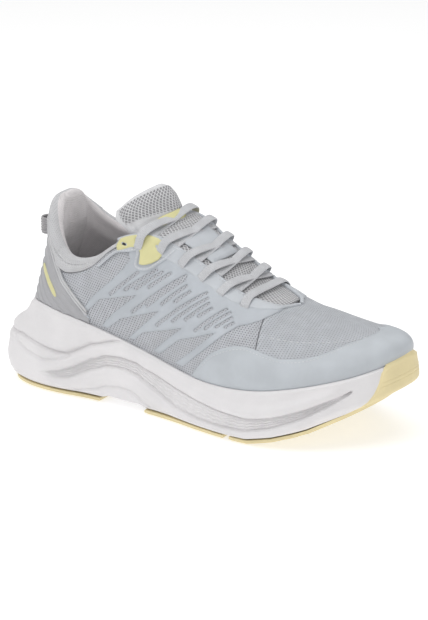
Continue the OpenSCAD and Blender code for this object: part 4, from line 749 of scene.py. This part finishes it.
sweep("tongue_label_bar", P, N, M_YEL, wd, .7, sq=4, body="tongue_flap", slot="accent_film", rep=["tongue_label"])
for d, k in ((19.6, "a"), (28.4, "b")):
    w_ = np.linspace(-.86, .86, 90)*(1 if k == "a" else .6); P, N = tp(d-2.6*w_, w_, np.full(90, .75)); stitches("tongue_seam_"+k, P, N, M_THREAD, 1.6, .9, .2, body="tongue_flap" if k == "a" else "tongue_flap")
# lace keeper
def keeper():
    u = np.linspace(7.35, 8.75, 40); P = tg(u); w = np.linspace(1.3, 2.7, 30); S = np.stack([five(P, np.full(len(u), 0)+x) if False else np.array([five(P[i], np.array([x]))[0] for i in range(len(u))]) for x in w], 1)
    n = gn(S); e = np.minimum(np.minimum(np.arange(40), np.arange(40)[::-1])[:, None]*.9, np.minimum(np.arange(30), np.arange(30)[::-1])[None]*.9)
    lift = .9+.8*sm(e/3.)
    shell("lace_keeper_patch", S+n*(1.5+lift)[..., None], S+n*1.6, M_STAY, slot="webbing", rep=["lace_keeper"])
keeper()
# ---- painted shade: dark knit strips in the eyestay's eyelet slots, standing in for the shade inside the holes

# ---- dark slots under each eyelet
for s, nm in ((-1, "lateral"), (1, "medial")):
    for i, e in enumerate(EYE+[6.12]):
        a = (e-.10, .842) if e > 6.2 else (6.10, .925); b = (e+.02, .905) if e > 6.2 else (6.2, .905); t = np.linspace(-.12, 1.12, 14); u = a[0]+(b[0]-a[0])*t; v = a[1]+(b[1]-a[1])*t
        sweep("%s_eyelet_hole_shade_%d" % (nm, i), up(s, u, v, .15), nrm(s, u, v), M_SLOT_SHADE, 1.7*np.sqrt(np.clip(1-np.linspace(-1, 1, 14)**6, .05, 1)), .9 if e > 6.2 else 1.3, sq=3)

# ---- laces: flat braid, laid over the throat
def thr(u, w, o):
    u = np.asarray(u, float); P = np.stack([up(-1, u, .86+0*u, 1.35), up(-1, u, .99+0*u, 1.5), (up(-1, u, 1+0*u, 0)+up(1, u, 1+0*u, 0))/2+np.array([2., 0, 2.]), up(1, u, .99+0*u, 1.5), up(1, u, .86+0*u, 1.35)], -2)
    r = np.array([five(P[i], np.array([2+2*w[i]]))[0] for i in range(len(u))]); return r+np.asarray(o, float)[:, None]*np.array([.34, 0, .94])
def run(name, u1, w1, u2, w2, o1, om, o2, rep=(), n=64, tw=0.):
    t = np.linspace(0, 1, n); u = u1+(u2-u1)*t; w = w1+(w2-w1)*t; e = np.where(t < .5, o1, o2); o = e+(om-e)*sm(1-np.abs(2*t-1)*1.15)
    P = thr(u, w, o); N = np.broadcast_to(np.array([.34, 0, .94]), P.shape).copy()
    # dive is not used; lace() turns the ends that reach an eyelet down into it
    def dive(P, k, s, ue):
        c = up(s, np.array([ue]), np.array([.835]), np.array([.2]))[0]; m = 10; q = np.linspace(0, 1, m)[:, None]
        return c
    a = np.linspace(0, 1, n)
    return P, N
def lace(name, u1, w1, u2, w2, o1, om, o2, rep=()):
    P, N = run(name, u1, w1, u2, w2, o1, om, o2)
    def tail_(P, s, ue):
        """Turns down over the eyelet's lip and into it"""
        e = P[-1]; n0 = nrm(s, np.array([ue]), np.array([.85]))[0]; d = P[-1]-P[-3]; d /= np.linalg.norm(d)
        t = np.linspace(0, 1, 12)[1:, None]; return e+d*(2.4*np.sin(t*np.pi/2))+(-n0)*(3.6*(1-np.cos(t*np.pi/2)))
    if abs(w2) == 1: P = np.vstack([P, tail_(P, int(w2), u2)])
    if abs(w1) == 1: P = np.vstack([tail_(P[::-1], int(w1), u1)[::-1], P])
    t = np.gradient(P, axis=0); t /= np.linalg.norm(t, axis=1, keepdims=True); N = np.zeros_like(P)
    # surface normals along the path keep the band flat on the shoe
    w = (P[:, 1]-1)/26.; N[:, 0] = .34; N[:, 2] = .94; N[:, 1] = .62*np.clip(w, -1.2, 1.2)
    N[:, 1] = np.where(np.abs(w) > .6, np.sign(w)*(.37+1.6*(np.abs(w)-.6)), N[:, 1])
    k = np.exp(-np.linspace(-1.6, 1.6, 9)**2); k /= k.sum()
    E = np.vstack([np.repeat(P[:1], 4, 0), P, np.repeat(P[-1:], 4, 0)]); Sx = sum(E[i:i+len(P)]*k[i] for i in range(9)); Sx[0], Sx[-1] = P[0], P[-1]; P = Sx
    P = resample(P, .8); N = np.stack([np.interp(np.linspace(0, 1, len(P)), np.linspace(0, 1, len(N)), N[:, c]) for c in range(3)], -1)
    return sweep(name, P, N, M_LACE, 6.0, 1.3, sq=2.6, k=18, slot="lace", rep=rep)
lace("lace_row_1", EYE[0], -1, EYE[0], 1, .1, .8, .1, rep=["shoelace"])
for i in range(5):
    lace("lace_up_%d" % (i+2), EYE[i]-.40, -.46, EYE[i+1], 1, -1.2, 4.7 if i == 4 else 3.0, .7 if i >= 3 else .1)
    lace("lace_over_%d" % (i+2), EYE[i]-.40, .46, EYE[i+1], -1, -1.2, 3.5 if i == 4 else 1.6, .7 if i >= 3 else .1)
for s, nm in ((-1, "lateral"), (1, "medial")):
    t = np.linspace(0, 1, 60); P = up(s, 6.75+2.6*t, .86-.28*t, -9.5-1.5*np.sin(np.pi*t)); sweep("lace_tail_"+nm, P, nrm(s, 6.75+2.6*t, .86-.28*t), M_LACE, 6.2, 1.4, sq=2.4, slot="lace")
    t = np.linspace(1.0, 1.13, 16); P = up(s, 6.75+2.6*t, .86-.28*t, -9.3-1.5*np.sin(np.pi*t)); sweep("aglet_"+nm, P, nrm(s, 6.75+2.6*t, .86-.28*t), M_AGLET, 2.6*np.clip(1-np.linspace(-1, 1, 16)**10, .3, 1), 2.4, sq=2., slot="aglet", rep=["aglets"] if s < 0 else ())

# ---- pull loop: a folded tape
def loop():
    a = np.linspace(-np.pi/2, -3*np.pi/2, 40); r = 6.5-.7; c = np.stack([13+r*np.cos(a), r*np.sin(a)], 1)
    x = np.linspace(20.6, 13, 16)[:-1]; L = np.concatenate([np.stack([x, -r+0*x], 1), c, np.stack([x[::-1], r+0*x], 1)])
    P = np.column_stack([L, np.full(len(L), 101.6)]); t, n, b = frames(P); Z = np.linspace(0, 11.4, 26); m = len(P)
    d = np.gradient(L, axis=0); d /= np.linalg.norm(d, axis=1, keepdims=True); nx = np.column_stack([-d[:, 1], d[:, 0], 0*d[:, 0]]); c0 = np.array([13, 0]); sg = np.sign((nx[:, :2]*(L-c0)).sum(1)); nx *= np.where(sg == 0, 1, sg)[:, None]
    rib = .22*np.cos(Z*2*np.pi/1.9)[None]; rd = sm(np.minimum(Z, Z[::-1])/.7)[None]
    O = P[:, None]+np.array([0, 0, 1.])*Z[None, :, None]+nx[:, None]*((.7+rib)*(.35+.65*rd))[..., None]
    I = P[:, None]+np.array([0, 0, 1.])*Z[None, :, None]-nx[:, None]*((.7+rib*.6)*(.35+.65*rd))[..., None]
    shell("pull_loop_tape", O, I, M_WEB, body="heel_loop", slot="webbing", rep=["pull_loop"])
loop()
# tape that the loop is sewn under, running up the back of the heel to the collar
u = np.concatenate([np.zeros(50)]); v = np.linspace(.50, .77, 50); P = up(-1, u, v, .3+0*v); N = nrm(-1, u, v); wd = np.full(50, 13.)
sweep("heel_tape", P, N, M_WEB, wd, 1.1, sq=5, k=24, slot="webbing")
for i, a in enumerate((-3.9, 3.9)):
    Q = P+np.cross(np.gradient(P, axis=0)/np.linalg.norm(np.gradient(P, axis=0), axis=1, keepdims=True), N)*a+N*1.05; stitches("heel_tape_stitch_%d" % i, Q, N, M_THREAD, 1.6, .9, .2)
